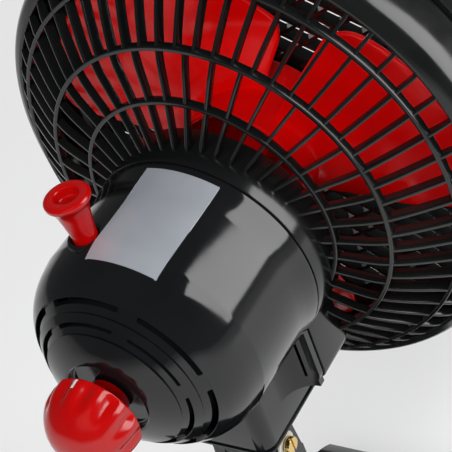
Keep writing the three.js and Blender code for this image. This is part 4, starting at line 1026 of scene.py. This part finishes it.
# ------------------------------------------------------------------ motor housing
@dataclass
class Housing(Part):
    """The rear shell: barrel, vented dome, knob well and the neck that drops to the swivel."""

    drop: float = BARREL_DROP
    front: float = 30.3
    inset: float = 2.4
    well: float = 15.2
    lip: tuple[Pair, ...] = ((44.9, 30.3), (44.75, 31.5), (44.2, 34.5), (43.7, 38.0), (43.5, 42.0))
    profile: tuple[Pair, ...] = ((43.5, 69.0), (42.4, 75.0), (40.9, 79.5), (38.6, 83.6), (35.6, 87.0),
                                 (31.7, 90.2), (29.3, 92.2), (26.0, 94.6), (21.0, 97.3))
    groove: float = 1.0
    bands: tuple[Pair, ...] = ((35.4, 33.3), (29.1, 27.5))
    flare_end: float = -69.4
    toe_top: float = -70.6
    foot: tuple[Pair, ...] = ((1.0, -84.0), (0.4, -83.6), (0.4, -82.8), (1.4, -82.5), (1.4, -82.0),
                              (1.0, -81.8), (0.0, -80.2), (0.0, -32.0))

    def outer(self) -> Shape:
        """The outside, closed at the front."""
        dome = [*smooth_curve(self.profile[:5], 4)[:-1], *self.grooves(), *self.profile[-1:], (16.6, 98.85)]
        lip = smooth_curve(self.lip, 3)
        r = self.well
        well = [(r + 0.7, 99.0), (r + 0.15, 98.7), (r, 98.2), (r - 0.4, 96.3), (r - 1.0, 96.0), (0.0, 96.0)]
        return Shape().turn([(0.0, self.front)] + lip + dome + well, 180, centre=(0, 0, -self.drop))

    def grooves(self) -> list[Pair]:
        """The dome's section across its two shallow grooves, where the slots are cut."""
        points: list[Pair] = []
        for first, last in (self.profile[4:6], self.profile[6:8]):
            inward = (Vector(last) - Vector(first)).orthogonal().normalized() * self.groove
            if inward.y > 0:
                inward = -inward
            along = (Vector(last) - Vector(first)).normalized() * 0.25
            points.append(first)
            points.append(tuple(Vector(first) + inward + along))
            points.append(tuple(Vector(last) + inward - along))
            points.append(last)
        return points

    def hollow(self) -> Shape:
        """The room inside the shell."""
        inner = [(r - self.inset * 0.8, y - self.inset * 0.8) for r, y in self.profile]
        profile = [(0.0, self.front - 1), (41.1, self.front - 1), *inner,
                   (17.6, 95.6), (17.6, 93.6), (0.0, 93.6)]
        return Shape().turn(profile, 90, centre=(0, 0, -self.drop))

    def neck_outline(self, inset: float, front: float, flare: float = 11.6) -> list[Pair]:
        """The neck seen from above.

        Args:
            inset: How far it is moved inward.
            front: Where it starts.
            flare: How far its sides spread toward the motor seat.

        Returns:
            Its (x, y) points.
        """
        half, back = 21.0 - inset, 60.0 - inset
        corner = 6.0 - inset * 0.5
        side: list[Pair] = [(half + flare, front)]
        for i in range(11 if flare else 0):
            t = i / 10 * math.pi / 2
            side.append((half + flare * (1 - math.sin(t)), self.front + 3 + flare * (1 - math.cos(t))))
        for i in range(9):
            a = i / 8 * math.pi / 2
            side.append((half - corner + corner * math.cos(a), back - corner + corner * math.sin(a)))
        return side + [(-x, y) for x, y in reversed(side)]

    def toe_outline(self, inset: float) -> list[Pair]:
        """The block under the flare, seen from above and moved inward by inset."""
        half, front, back = 21 - inset, 17 + inset, 33
        return [(half, front), (half, back), (-half, back), (-half, front)]

    def slot_cutter(self, outer: float, inner: float, start: float, end: float) -> Shape:
        """A cutter for one vent slot with round ends.

        Args:
            outer: Outer radius of the slot.
            inner: Inner radius.
            start: Angle of its first end, in degrees from +X toward +Z.
            end: Angle of its other end.

        Returns:
            The cutter.
        """
        middle, half = (outer + inner) / 2, (outer - inner) / 2
        trim = math.degrees(half * 0.55 / middle)
        points: list[Pair] = []
        for radius, first, last in ((outer, start + trim, end - trim), (inner, end - trim, start + trim)):
            for i in range(13):
                a = math.radians(first + (last - first) * i / 12)
                points.append((radius * math.cos(a), radius * math.sin(a) - self.drop))
            at = math.radians(last)
            centre = Vector((middle * math.cos(at), middle * math.sin(at) - self.drop))
            way = 1 if radius == outer else -1
            for i in range(1, 6):
                a = i / 6 * math.pi
                out = Vector((math.cos(at), math.sin(at))) * (way * half * math.cos(a))
                round_end = Vector((-math.sin(at), math.cos(at))) * (way * half * 0.55 * math.sin(a))
                spot = centre + out + round_end
                points.append((spot.x, spot.y))
        return Shape().prism(points, "Y", 82.0, 102.0)

    def slots(self) -> Shape:
        """All the vent slots' cutters."""
        cutters = Shape()
        for outer, inner in self.bands:
            for i in range(6):
                cutters.add(self.slot_cutter(outer, inner, 114 + i * 60 + 6, 114 + (i + 1) * 60 - 6))
        return cutters

    def build(self) -> None:
        """Makes the shell and its rating plate."""
        front, floor = self.front, -81.6
        neck = Shape().prism(self.neck_outline(0.0, front + 0.03), "Z", self.flare_end, -32.0)
        foot = Shape().grid([[(x, y, z) for x, y in self.neck_outline(inset, front + 0.03, 0.0)]
                             for inset, z in self.foot], caps=True)
        toe = Shape().grid([[(x, y, z) for x, y in self.toe_outline(inset)]
                            for inset, z in (*self.foot[:-1], (0.0, self.toe_top))], caps=True)
        tail = Shape().prism(SEAT.points(-0.6), "Y", front + 0.06, front + 2.6)
        collar = Shape().turn([(0, 20), (6.7, 20), (6.7, 30.0), (6.2, 30.6), (0, 30.6)], 48, "Z",
                              (*PULL_SPOT, 0))
        room = Shape().prism(self.neck_outline(self.inset, front - 1.5), "Z", self.flare_end + 2.4, -30.3)
        cellar = Shape().block((-18.6, 32.7, floor), (18.6, 57.6, self.flare_end + 3.0))
        toe_room = Shape().block((-18.6, 19.4, floor), (18.6, 34.0, self.toe_top - 2.4))
        mouth = Shape().block((-29, front - 2, -64), (29, front + 4, -29.4))
        swivel = Shape().rod(7.8, -86, -79, 48, "Z", (0, 44.0, 0))
        stem = Shape().rod(4.6, 85, 98, 40, centre=(0, 0, -self.drop))
        pull = Shape().rod(5.2, 10, 40, 40, "Z", (*PULL_SPOT, 0))
        mesh = carve("shell", self.outer(), self.origin, (neck, foot, toe, tail, collar),
                     (self.hollow(), room, cellar, toe_room, mouth, swivel, stem, pull, self.slots()))
        put(mesh, "shell_black", Body.HEAD, BLACK, ("rear_shell",), bevel=0.35, crease=38.0)
        self.plate()

    def plate(self) -> None:
        """The bare rating plate, bent round the barrel."""
        low, high, first, last = 32.8, 76.0, -8.0, 29.5
        radius, corner = 43.5, 0.4
        wide = math.radians(last - first) * radius
        tall = high - low
        middle_a, middle_y = math.radians((first + last) / 2), (low + high) / 2
        outline = rounded_rect(wide, tall, corner, 5)
        shape = Shape()
        rings = []
        proud, bend = 0.16, 0.12
        for lift, shrink in ((-0.3, 0.0), (0.1, 0.0), (proud, bend)):
            row = []
            for across, along in outline:
                x = across * (1 - shrink * 2 / wide)
                y = middle_y + along * (1 - shrink * 2 / tall)
                r = self.barrel_radius(y) + lift
                row.append(around(r, y, middle_a + x / radius, self.drop))
            rings.append(row)
        shape.grid(rings)
        columns, lines = 40, 40
        rows = []
        for j in range(lines + 1):
            y = middle_y + (j / lines - 0.5) * (tall - 2 * bend)
            cut = max(0.0, corner - (tall / 2 - abs(y - middle_y)))
            trim = corner - math.sqrt(max(corner ** 2 - cut ** 2, 0.0)) if cut > 0 else 0.0
            half = wide / 2 - bend - trim
            r = self.barrel_radius(y) + proud
            rows.append([around(r, y, middle_a + (i / columns * 2 - 1) * half / radius, self.drop)
                         for i in range(columns + 1)])
        shape.grid(rows, wrap_row=False)
        self.piece(shape, "rating_plate", Body.HEAD, SILVER)

    def barrel_radius(self, y: float) -> float:
        """Radius of the barrel and dome at a place along the axis."""
        curve = [*smooth_curve(self.lip, 3), *smooth_curve(self.profile, 3)]
        return value_at([(place, r) for r, place in curve], y)


# ------------------------------------------------------------------ knobs
@dataclass
class Knobs(Part):
    """The fluted speed knob and the pull knob."""

    drop: float = BARREL_DROP
    flutes: int = 12
    spindle: Pair = PULL_SPOT
    speed: tuple[Triple, ...] = ((13.2, 104.4, 0.0), (15.4, 104.4, 0.0), (16.4, 104.8, 0.15),
                                 (16.8, 105.6, 0.6), (16.8, 107.4, 1.0), (16.7, 109.2, 1.0),
                                 (16.3, 111.4, 0.9), (15.6, 113.4, 0.6), (14.5, 115.6, 0.22),
                                 (12.9, 117.9, 0.03), (10.8, 120.0, 0.0), (8.2, 121.8, 0.0),
                                 (5.2, 122.9, 0.0), (2.5, 123.4, 0.0), (0.0, 123.5, 0.0))
    flute_depth: float = 1.5

    def flute_cut(self, angle: float) -> float:
        """How deep the flutes are at an angle, from 0 to 1: broad scoops with narrow lands."""
        wave = 0.5 - 0.5 * math.cos(angle * self.flutes)
        return wave ** 1.3

    def speed_surface(self, angle: float, radius: float, depth: float) -> float:
        """Radius of the fluted skin."""
        return radius - self.flute_depth * depth * self.flute_cut(angle)

    def speed_knob(self) -> None:
        """Makes the speed knob with its white mark."""
        steps = 288
        fine = smooth_curve([(r, y) for r, y, _ in self.speed], 3)
        depths = smooth_curve([(d, float(i)) for i, (_, _, d) in enumerate(self.speed)], 3)
        rows = []
        for (radius, y), (depth, _) in zip(fine, depths):
            row = []
            for i in range(steps):
                a = i / steps * TAU
                row.append(around(max(0.0, self.speed_surface(a, radius, depth)), y, a, self.drop))
            rows.append(row)
        shape = Shape().grid(rows)
        stem = rounded([(3.5, 96.9), (7.5, 96.9), (7.5, 104.6), (13.4, 104.6), (13.4, 105.6),
                        (3.5, 105.6)], 0.4, 2)
        shape.add(Shape().turn(stem, 72, centre=(0, 0, -self.drop), closed=True))
        self.piece(shape, "speed_knob_red", Body.DIAL, KNOB_RED, ("speed_knob",), crease=60.0)
        self.mark(fine, depths)

    def mark(self, fine: Sequence[Pair], depths: Sequence[Pair]) -> None:
        """The white line that shows the knob's setting.

        Args:
            fine: (radius, along) points of the knob's section.
            depths: Depth of the flutes at each of them.
        """
        rows = []
        middle, width, lift = math.radians(357.0), 1.3, 0.12
        for (radius, y), (depth, _) in zip(fine, depths):
            if not 105.5 < y < 109.4:
                continue
            row = []
            for k in range(5):
                a = middle + (k / 4 - 0.5) * width / max(radius, 1.0)
                row.append(around(self.speed_surface(a, radius, depth) + lift, y, a, self.drop))
            rows.append(row)
        self.piece(Shape().grid(rows, wrap_row=False), "speed_mark", Body.DIAL, PAINT_WHITE)

    def pull_knob(self) -> None:
        """Makes the pull knob: a flared collar on a thin stem, dished on top."""
        top = 48.6
        dish = rounded([(0.0, top - 3.9), (3.9, top - 3.7), (4.5, top - 0.2), (5.6, top), (7.5, top),
                        (8.4, top - 1.0), (8.2, top - 2.3)], 0.9, 4, closed=False)
        stem = [(8.2, top - 2.3), (7.0, top - 3.9), (6.1, top - 6.0), (5.5, top - 9.0), (4.9, top - 13.0),
                (4.5, top - 18.0), (4.4, 10.6)]
        profile = dish[:-1] + smooth_curve(stem, 3) + [(2.4, 10.4), (2.4, 19.4), (0.0, 19.4)]
        x, y = self.spindle
        self.piece(Shape().turn(profile, 96, "Z", (x, y, 0.0)), "pull_knob_red", Body.BUTTON, KNOB_RED,
                   ("pull_knob",), crease=50.0)

    def build(self) -> None:
        """Makes both knobs."""
        self.speed_knob()
        self.pull_knob()


# ------------------------------------------------------------------ clamp
@dataclass
class Clamp(Part):
    """The clamp that also stands: base, upper jaw, post and what joins them."""

    place: Place = Place.CLAMP
    pivot: Pair = CLAMP_PIVOT
    half: float = 34.0
    bore: float = 3.3
    tilt_bore: float = 2.9

    def base(self) -> None:
        """Makes the base plate with its cheeks."""
        middle = -4.0

        def outline(inset: float, z: float) -> list[Triple]:
            """The plate's outline at a height, moved inward by inset."""
            points = rounded_rect(96.0 - 2 * inset, 152.0 - 2 * inset, max(16.0 - inset, 1.0), 12)
            return [(x, y + middle, z) for x, y in points]

        levels = [(2.6, 10.4), (2.6, 2.2), (2.2, 2.0), (0.5, 2.0), (0.0, 2.6), (0.0, 10.6), (0.25, 11.6),
                  (0.9, 12.5), (1.9, 13.0), (3.4, 13.0)]
        plate = Shape().grid([outline(inset, z) for inset, z in levels], caps=True)
        py, pz = self.pivot
        arch = half_circle(py, pz, 11.0) + [(py - 20, 11.0), (py + 20, 11.0)]
        cheeks = [Shape().prism(arch, "X", *sorted((side * 37.0, side * 41.0))) for side in (-1, 1)]
        bosses = Shape()
        for x, y in sorted(FEET.values()):
            bosses.add(Shape().rod(8.5, 2.0, 12.0, 40, "Z", (x, y, 0)))
        bore = Shape().rod(self.bore, -60, 60, 32, "X", (0, py, pz))
        seat = Shape().block((-32, -76, 11.8), (32, -46, 14.0))
        mesh = carve("base", plate, self.origin, (*cheeks, bosses), (bore, seat))
        put(mesh, "base_black", Body.BASE, BLACK, ("base_jaw",), bevel=0.5, crease=40.0)

    def jaw_outline(self, inset: float) -> list[Pair]:
        """The upper jaw seen from the side: nose, rising back, post seat and rear lever."""
        nose, under = -78.0 + inset, 18.7 + inset * 0.6
        top = 62.0 - inset
        outline: list[Pair] = [(nose, under), (nose, under + 3.5 - inset * 0.4)]

        def bend(b: Pair, c: Pair, d: Pair, steps: int = 14) -> None:
            """Adds a soft curve from the last point to d."""
            a = outline[-1]
            for i in range(1, steps + 1):
                t = i / steps
                weights = ((1 - t) ** 3, 3 * t * (1 - t) ** 2, 3 * t * t * (1 - t), t ** 3)
                outline.append(tuple(sum(w * p[k] for w, p in zip(weights, (a, b, c, d))) for k in (0, 1)))

        py, pz = self.pivot
        bend((nose + 14, under + 15 - inset), (-44, 34 - inset), (-30, 42 - inset))
        bend((-22, 50 - inset), (-20, top), (-16 + inset * 0.4, top))
        outline.append((17 - inset * 0.4, top))
        bend((30, top), (40, top - 2), (52, 64 - inset))
        outline += [(72 - inset, 69 - inset), (72 - inset, 64)]
        bend((54, 56), (48, 44), (py + 9 - inset, pz - 4))
        bend((py + 5, pz - 11 + inset), (py - 6, pz - 11 + inset), (py - 9, pz - 6 + inset * 0.5))
        bend((2, under + 17), (-20, under + 14), (-30, under + 4 + inset * 0.5))
        bend((-36, under), (-40, under), (-46, under))
        return outline

    def jaw(self) -> None:
        """Makes the upper jaw with grip ribs on its lever."""
        half = self.half
        py, pz = self.pivot
        solid = Shape().prism(self.jaw_outline(0.0), "X", -half, half)
        grips = Shape()
        for i in range(5):
            y = 52.0 + i * 3.6
            z = 64.0 + (y - 52.0) * 0.25
            side = rounded([(0, -26), (0.9, -26), (0.9, 26), (0, 26)], 0.5, 2, closed=False)
            grips.add(Shape().turn(side, 16, "X", (0, y, z + 0.1)))
        pocket = Shape().prism(self.jaw_outline(2.6), "X", -half + 2.6, half - 2.6)
        throat = Shape().block((-half + 2.6, 2.0, pz - 14), (half - 2.6, 64.0, 52.0))
        bore = Shape().rod(self.bore, -60, 60, 32, "X", (0, py, pz))
        mesh = carve("jaw", solid, self.origin, (), (pocket, throat, bore))
        put(mesh, "jaw_black", Body.JAW, BLACK, ("upper_jaw",), bevel=0.7, crease=40.0)
        self.piece(grips, "lever_grips", Body.JAW, BLACK)

    def post(self) -> None:
        """Makes the post: a stem with two ears and three ribs on its back."""
        inner, outer, radius, top = 8.7, 13.9, 8.4, TILT_HEIGHT
        ear = half_circle(0.0, top, radius)
        crotch = top - radius - 3
        ear += [(-radius - 1.6, crotch - 6), (radius + 1.6, crotch - 6)]
        side = [(-16, 62.3), (16, 62.3), (13, 70.3), (10, crotch - 14), (10, crotch), (-10, crotch),
                (-10, crotch - 14), (-13, 70.3)]
        ribs = [Shape().block((k * 7 - 1.1, 7.0, 68.3), (k * 7 + 1.1, 12.8, crotch - 4)) for k in (-1, 0, 1)]
        ears = [Shape().prism(ear, "X", *sorted((s * inner, s * outer))) for s in (-1, 1)]
        bore = Shape().rod(self.tilt_bore, -20, 20, 32, "X", (0, 0, top))
        mesh = carve("post", Shape().prism(side, "X", -outer, outer), self.origin, (*ears, *ribs), (bore,))
        put(mesh, "post_black", Body.JAW, BLACK, ("post",), bevel=0.6, crease=35.0)

    def screw(self) -> None:
        """Makes the tilt screw with its slotted head, and the washer."""
        side = [(0, -18.3), (3.4, -18.3), (3.4, -15.7), (2.6, -15.6), (2.6, 17.5), (0, 17.5)]
        solid = Shape().turn(rounded(side, 0.6, 4, closed=False), 40, "X", (0, 0, TILT_HEIGHT))
        slot = Shape().block((-19.4, -0.45, 122.0), (-17.3, 0.45, 134.0))
        mesh = carve("screw", solid, self.origin, (), (slot,))
        put(mesh, "screw_brass", Body.JAW, BRASS, ("tilt_screw",), bevel=0.12, crease=40.0)
        ring = rounded([(2.9, -15.4), (5.2, -15.4), (5.2, -14.2), (2.9, -14.2)], 0.35, 3)
        washer = Shape().turn(ring, 48, "X", (0, 0, TILT_HEIGHT), closed=True)
        self.piece(washer, "washer_pale", Body.JAW, NATURAL, ("tilt_washer",))

    def feet(self) -> None:
        """Makes the four rubber feet."""
        profile = rounded([(0, 0), (7, 0), (7, 1.7), (0, 1.7)], 0.5, 3, closed=False)
        for name, (x, y) in FEET.items():
            self.piece(Shape().turn(profile, 40, "Z", (x, y, 0)), "rubber_foot_" + name, Body.BASE, RUBBER,
                       ("foot_" + name,))

    def build(self) -> None:
        """Makes the clamp."""
        self.base()
        self.jaw()
        self.post()
        self.screw()
        self.feet()


@dataclass
class Spring(Part):
    """The clamp spring, wound round the pin with a leg on each jaw."""

    place: Place = Place.CLAMP
    wire: float = 1.1
    radius: float = 8.0
    turns: int = 6
    pitch: float = 3.2
    pivot: Pair = CLAMP_PIVOT

    def path(self) -> list[Vector]:
        """The wire's middle line."""
        length = self.turns * self.pitch
        start, total = math.radians(30.0), self.turns * TAU - math.radians(50.0)
        steps = 28 * self.turns
        py, pz = self.pivot
        coil = []
        for i in range(steps + 1):
            a = start + total * i / steps
            coil.append(Vector((-length / 2 + length * i / steps, py + self.radius * math.cos(a),
                                pz + self.radius * math.sin(a))))
        end = start + total
        first = Vector((0, math.sin(start), -math.cos(start)))
        last = Vector((0, -math.sin(end), math.cos(end)))
        lead = [coil[0] + first * (30.2 * k / 8) for k in range(8, 0, -1)]
        tail = [coil[-1] + last * (26.6 * k / 8) for k in range(1, 9)]
        return lead + coil + tail

    def build(self) -> None:
        """Makes the spring."""
        path = self.path()
        rows = []
        for i, spot in enumerate(path):
            way = (path[min(i + 1, len(path) - 1)] - path[max(i - 1, 0)]).normalized()
            side = (Vector((1, 0, 0)) - way * way.x).normalized()
            up = way.cross(side)
            turns = [k / 12 * TAU for k in range(12)]
            rows.append([(spot + side * self.wire * math.cos(a) + up * self.wire * math.sin(a))[:]
                         for a in turns])
        piece = self.piece(Shape().grid(rows, caps=True), "spring_wire", Body.BASE, STEEL, ("clamp_spring",))
        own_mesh(piece)


@dataclass
class Swivel(Part):
    """The tilt block under the head."""

    place: Place = Place.TILT

    def build(self) -> None:
        """Makes the block: a barrel between the post's ears, a disc and the swivel post."""
        barrel = Shape().rod(8.4, -8.4, 8.4, 48, "X")
        neck = Shape().block((-8.4, -8.4, 0.0), (8.4, 8.4, 9.7))
        disc = Shape().turn([(0, 8.7), (14.4, 8.7), (15.0, 9.2), (15.0, 10.2), (14.6, 10.7), (0, 10.7)],
                            72, "Z")
        stem = Shape().rod(7, 9.7, 14.3, 48, "Z")
        bore = Shape().rod(2.9, -10, 10, 32, "X")
        mesh = carve("block", barrel, self.origin, (neck, disc, stem), (bore,))
        put(mesh, "tilt_block_black", Body.NECK, SATIN, ("tilt_block",), bevel=0.4, crease=40.0)


# ------------------------------------------------------------------ kept pieces
class Kept(Enum):
    """CAD pieces that keep their shape, with the finish that each one gets."""

    CLAMP_PIN = ("clamp_pin", STEEL)
    LOWER_PAD = ("lower_grip_pad", RUBBER)
    UPPER_PAD = ("upper_grip_pad", RUBBER)
    NUT = ("tilt_nut", STEEL)
    PIVOT_ARM = ("pivot_arm", STEEL)
    LINK = ("oscillation_link", STEEL)
    STATOR = ("stator", IRON)
    COIL_LEFT = ("coil_left", COPPER)
    COIL_RIGHT = ("coil_right", COPPER)
    FRONT_BEARING = ("front_bearing", BRASS)
    REAR_BEARING = ("rear_bearing", BRASS)
    BRACKET = ("front_bracket", STEEL)
    GEAR_CASE = ("gear_case", SATIN)
    SWITCH = ("speed_switch", SATIN)
    SPINDLE = ("clutch_spindle", STEEL)
    SHAFT = ("motor_shaft", STEEL)
    ROTOR = ("rotor", IRON)


def dress_kept() -> None:
    """Gives each kept CAD piece its finish and soft shading."""
    for kept in Kept:
        name, finish = kept.value
        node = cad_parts[name]
        node.data.materials.clear()
        node.data.materials.append(finish.material())
        node.data.shade_smooth()
        node.data.set_sharp_from_angle(angle=math.radians(35.0))
        LOG.info("%s: kept, %s", name, finish.name)


# ------------------------------------------------------------------ studio
@dataclass
class Studio:
    """Floor, lamps, world and camera."""

    floor_tone: float = 0.56
    floor_glow: float = 0.31
    lens: float = 118.4
    eye: Triple = (-0.2917, 0.29075, 0.5431)

    def floor(self) -> None:
        """A wide pale floor."""
        shape = Shape()
        size, rings, steps = 4000.0, 24, 96
        rows = []
        for k in range(rings + 1):
            r = size * (k / rings) ** 2
            rows.append([(r * math.cos(i / steps * TAU), r * math.sin(i / steps * TAU), -0.05)
                         for i in range(steps)])
        shape.grid(rows)
        mesh = shape.mesh("studio_floor", Vector((0, 0, 0)))
        mesh.materials.append(self.paper())
        floor = bpy.data.objects.new("studio_floor", mesh)
        bpy.context.scene.collection.objects.link(floor)

    def paper(self) -> bpy.types.Material:
        """Pale paper that keeps shadows and is shown pale to the camera and in reflections."""
        n = Nodes("studio_paper")
        grey, soft = (self.floor_tone,) * 3, (self.floor_tone * 0.99,) * 3
        sheet = n.add("ShaderNodeBsdfDiffuse", {"Color": n.spots(3.0, 2.0, grey, soft)})
        rays = n.add("ShaderNodeLightPath")
        seen = n.add("ShaderNodeMath", {0: rays.outputs["Is Camera Ray"], 1: rays.outputs["Is Glossy Ray"]},
                     operation="ADD")
        clear = n.add("ShaderNodeMath", {0: seen.outputs[0], 1: rays.outputs["Is Transmission Ray"]},
                      operation="ADD", use_clamp=True)
        strength = n.between(clear.outputs[0], 0.0, self.floor_glow, 0.0, 1.0)
        glow = n.add("ShaderNodeEmission", {"Strength": strength})
        both = n.add("ShaderNodeAddShader", {0: sheet.outputs[0], 1: glow.outputs[0]})
        n.add("ShaderNodeOutputMaterial", {"Surface": both.outputs[0]})
        return n.material

    def lamp(self, name: str, way: Triple, distance: float, size: Pair, radiance: float,
             mirrored: bool = True) -> None:
        """Hangs a soft lamp that looks at the head.

        Args:
            name: The lamp's name.
            way: Direction from the head to the lamp.
            distance: How far away it is, in metres.
            size: Width and height, in metres.
            radiance: How bright its face is; 1 is white.
            mirrored: Whether glossy pieces show it.
        """
        data = bpy.data.lights.new(name, "AREA")
        data.shape, data.size, data.size_y = "RECTANGLE", *size
        data.energy = radiance * math.pi * size[0] * size[1]
        lamp = bpy.data.objects.new(name, data)
        direction = Vector(way).normalized()
        lamp.location = Vector((0.0, 0.0, 0.2)) + direction * distance
        lamp.rotation_mode = "QUATERNION"
        lamp.rotation_quaternion = (-direction).to_track_quat("-Z", "Y")
        lamp.visible_glossy = mirrored
        lamp.visible_camera = False
        bpy.context.scene.collection.objects.link(lamp)

    def world(self) -> None:
        """Dim walls all round and a darker ceiling, so that black pieces stay black."""
        world = bpy.data.worlds.new("studio")
        bpy.context.scene.world = world
        world.use_nodes = True
        tree = world.node_tree
        tree.nodes.clear()
        where = tree.nodes.new("ShaderNodeTexCoord")
        parts = tree.nodes.new("ShaderNodeSeparateXYZ")
        ramp = tree.nodes.new("ShaderNodeValToRGB")
        back = tree.nodes.new("ShaderNodeBackground")
        out = tree.nodes.new("ShaderNodeOutputWorld")
        tree.links.new(where.outputs["Generated"], parts.inputs[0])
        tree.links.new(parts.outputs["Z"], ramp.inputs["Fac"])
        tree.links.new(ramp.outputs["Color"], back.inputs["Color"])
        tree.links.new(back.outputs[0], out.inputs["Surface"])
        stops = ramp.color_ramp.elements
        stops[0].position, stops[0].color = 0.0, (0.12, 0.12, 0.12, 1.0)
        stops[1].position, stops[1].color = 0.85, (0.05, 0.052, 0.055, 1.0)

    def camera(self) -> None:
        """The camera of the photograph."""
        right = Vector((-0.83613, -0.46231, -0.29522))
        up = Vector((0.11097, -0.66964, 0.73435))
        back = right.cross(up).normalized()
        up = back.cross(right.normalized())
        data = bpy.data.cameras.new("camera")
        data.lens, data.sensor_width = self.lens, 36.0
        data.clip_start, data.clip_end = 0.01, 50.0
        camera = bpy.data.objects.new("camera", data)
        turn = Matrix((right.normalized(), up, back)).transposed().to_4x4()
        camera.matrix_world = Matrix.Translation(self.eye) @ turn
        bpy.context.scene.collection.objects.link(camera)
        bpy.context.scene.camera = camera

    def build(self) -> None:
        """Sets up the studio."""
        bpy.context.scene.view_settings.view_transform = "Standard"
        self.floor()
        self.world()
        self.lamp("side_box", (-0.82, -0.39, 0.415), 0.95, (0.50, 0.80), 5.4)
        self.lamp("camera_fill", (-0.35, 0.75, 0.75), 1.6, (1.2, 1.2), 6.0, mirrored=False)
        self.lamp("front_fill", (0.45, -0.80, 0.40), 1.6, (1.2, 1.2), 2.4, mirrored=False)
        self.camera()


def main() -> None:
    """Builds the sub-assemblies in order."""
    logging.basicConfig(level=logging.INFO, format="%(message)s")
    for part in (Studio(), RearGuard(), FrontGrille(), Impeller(), Housing(), Knobs(), Clamp(), Spring(),
                 Swivel()):
        part.build()
        LOG.info("built %s", type(part).__name__)
    dress_kept()


if __name__ == "__main__":
    main()
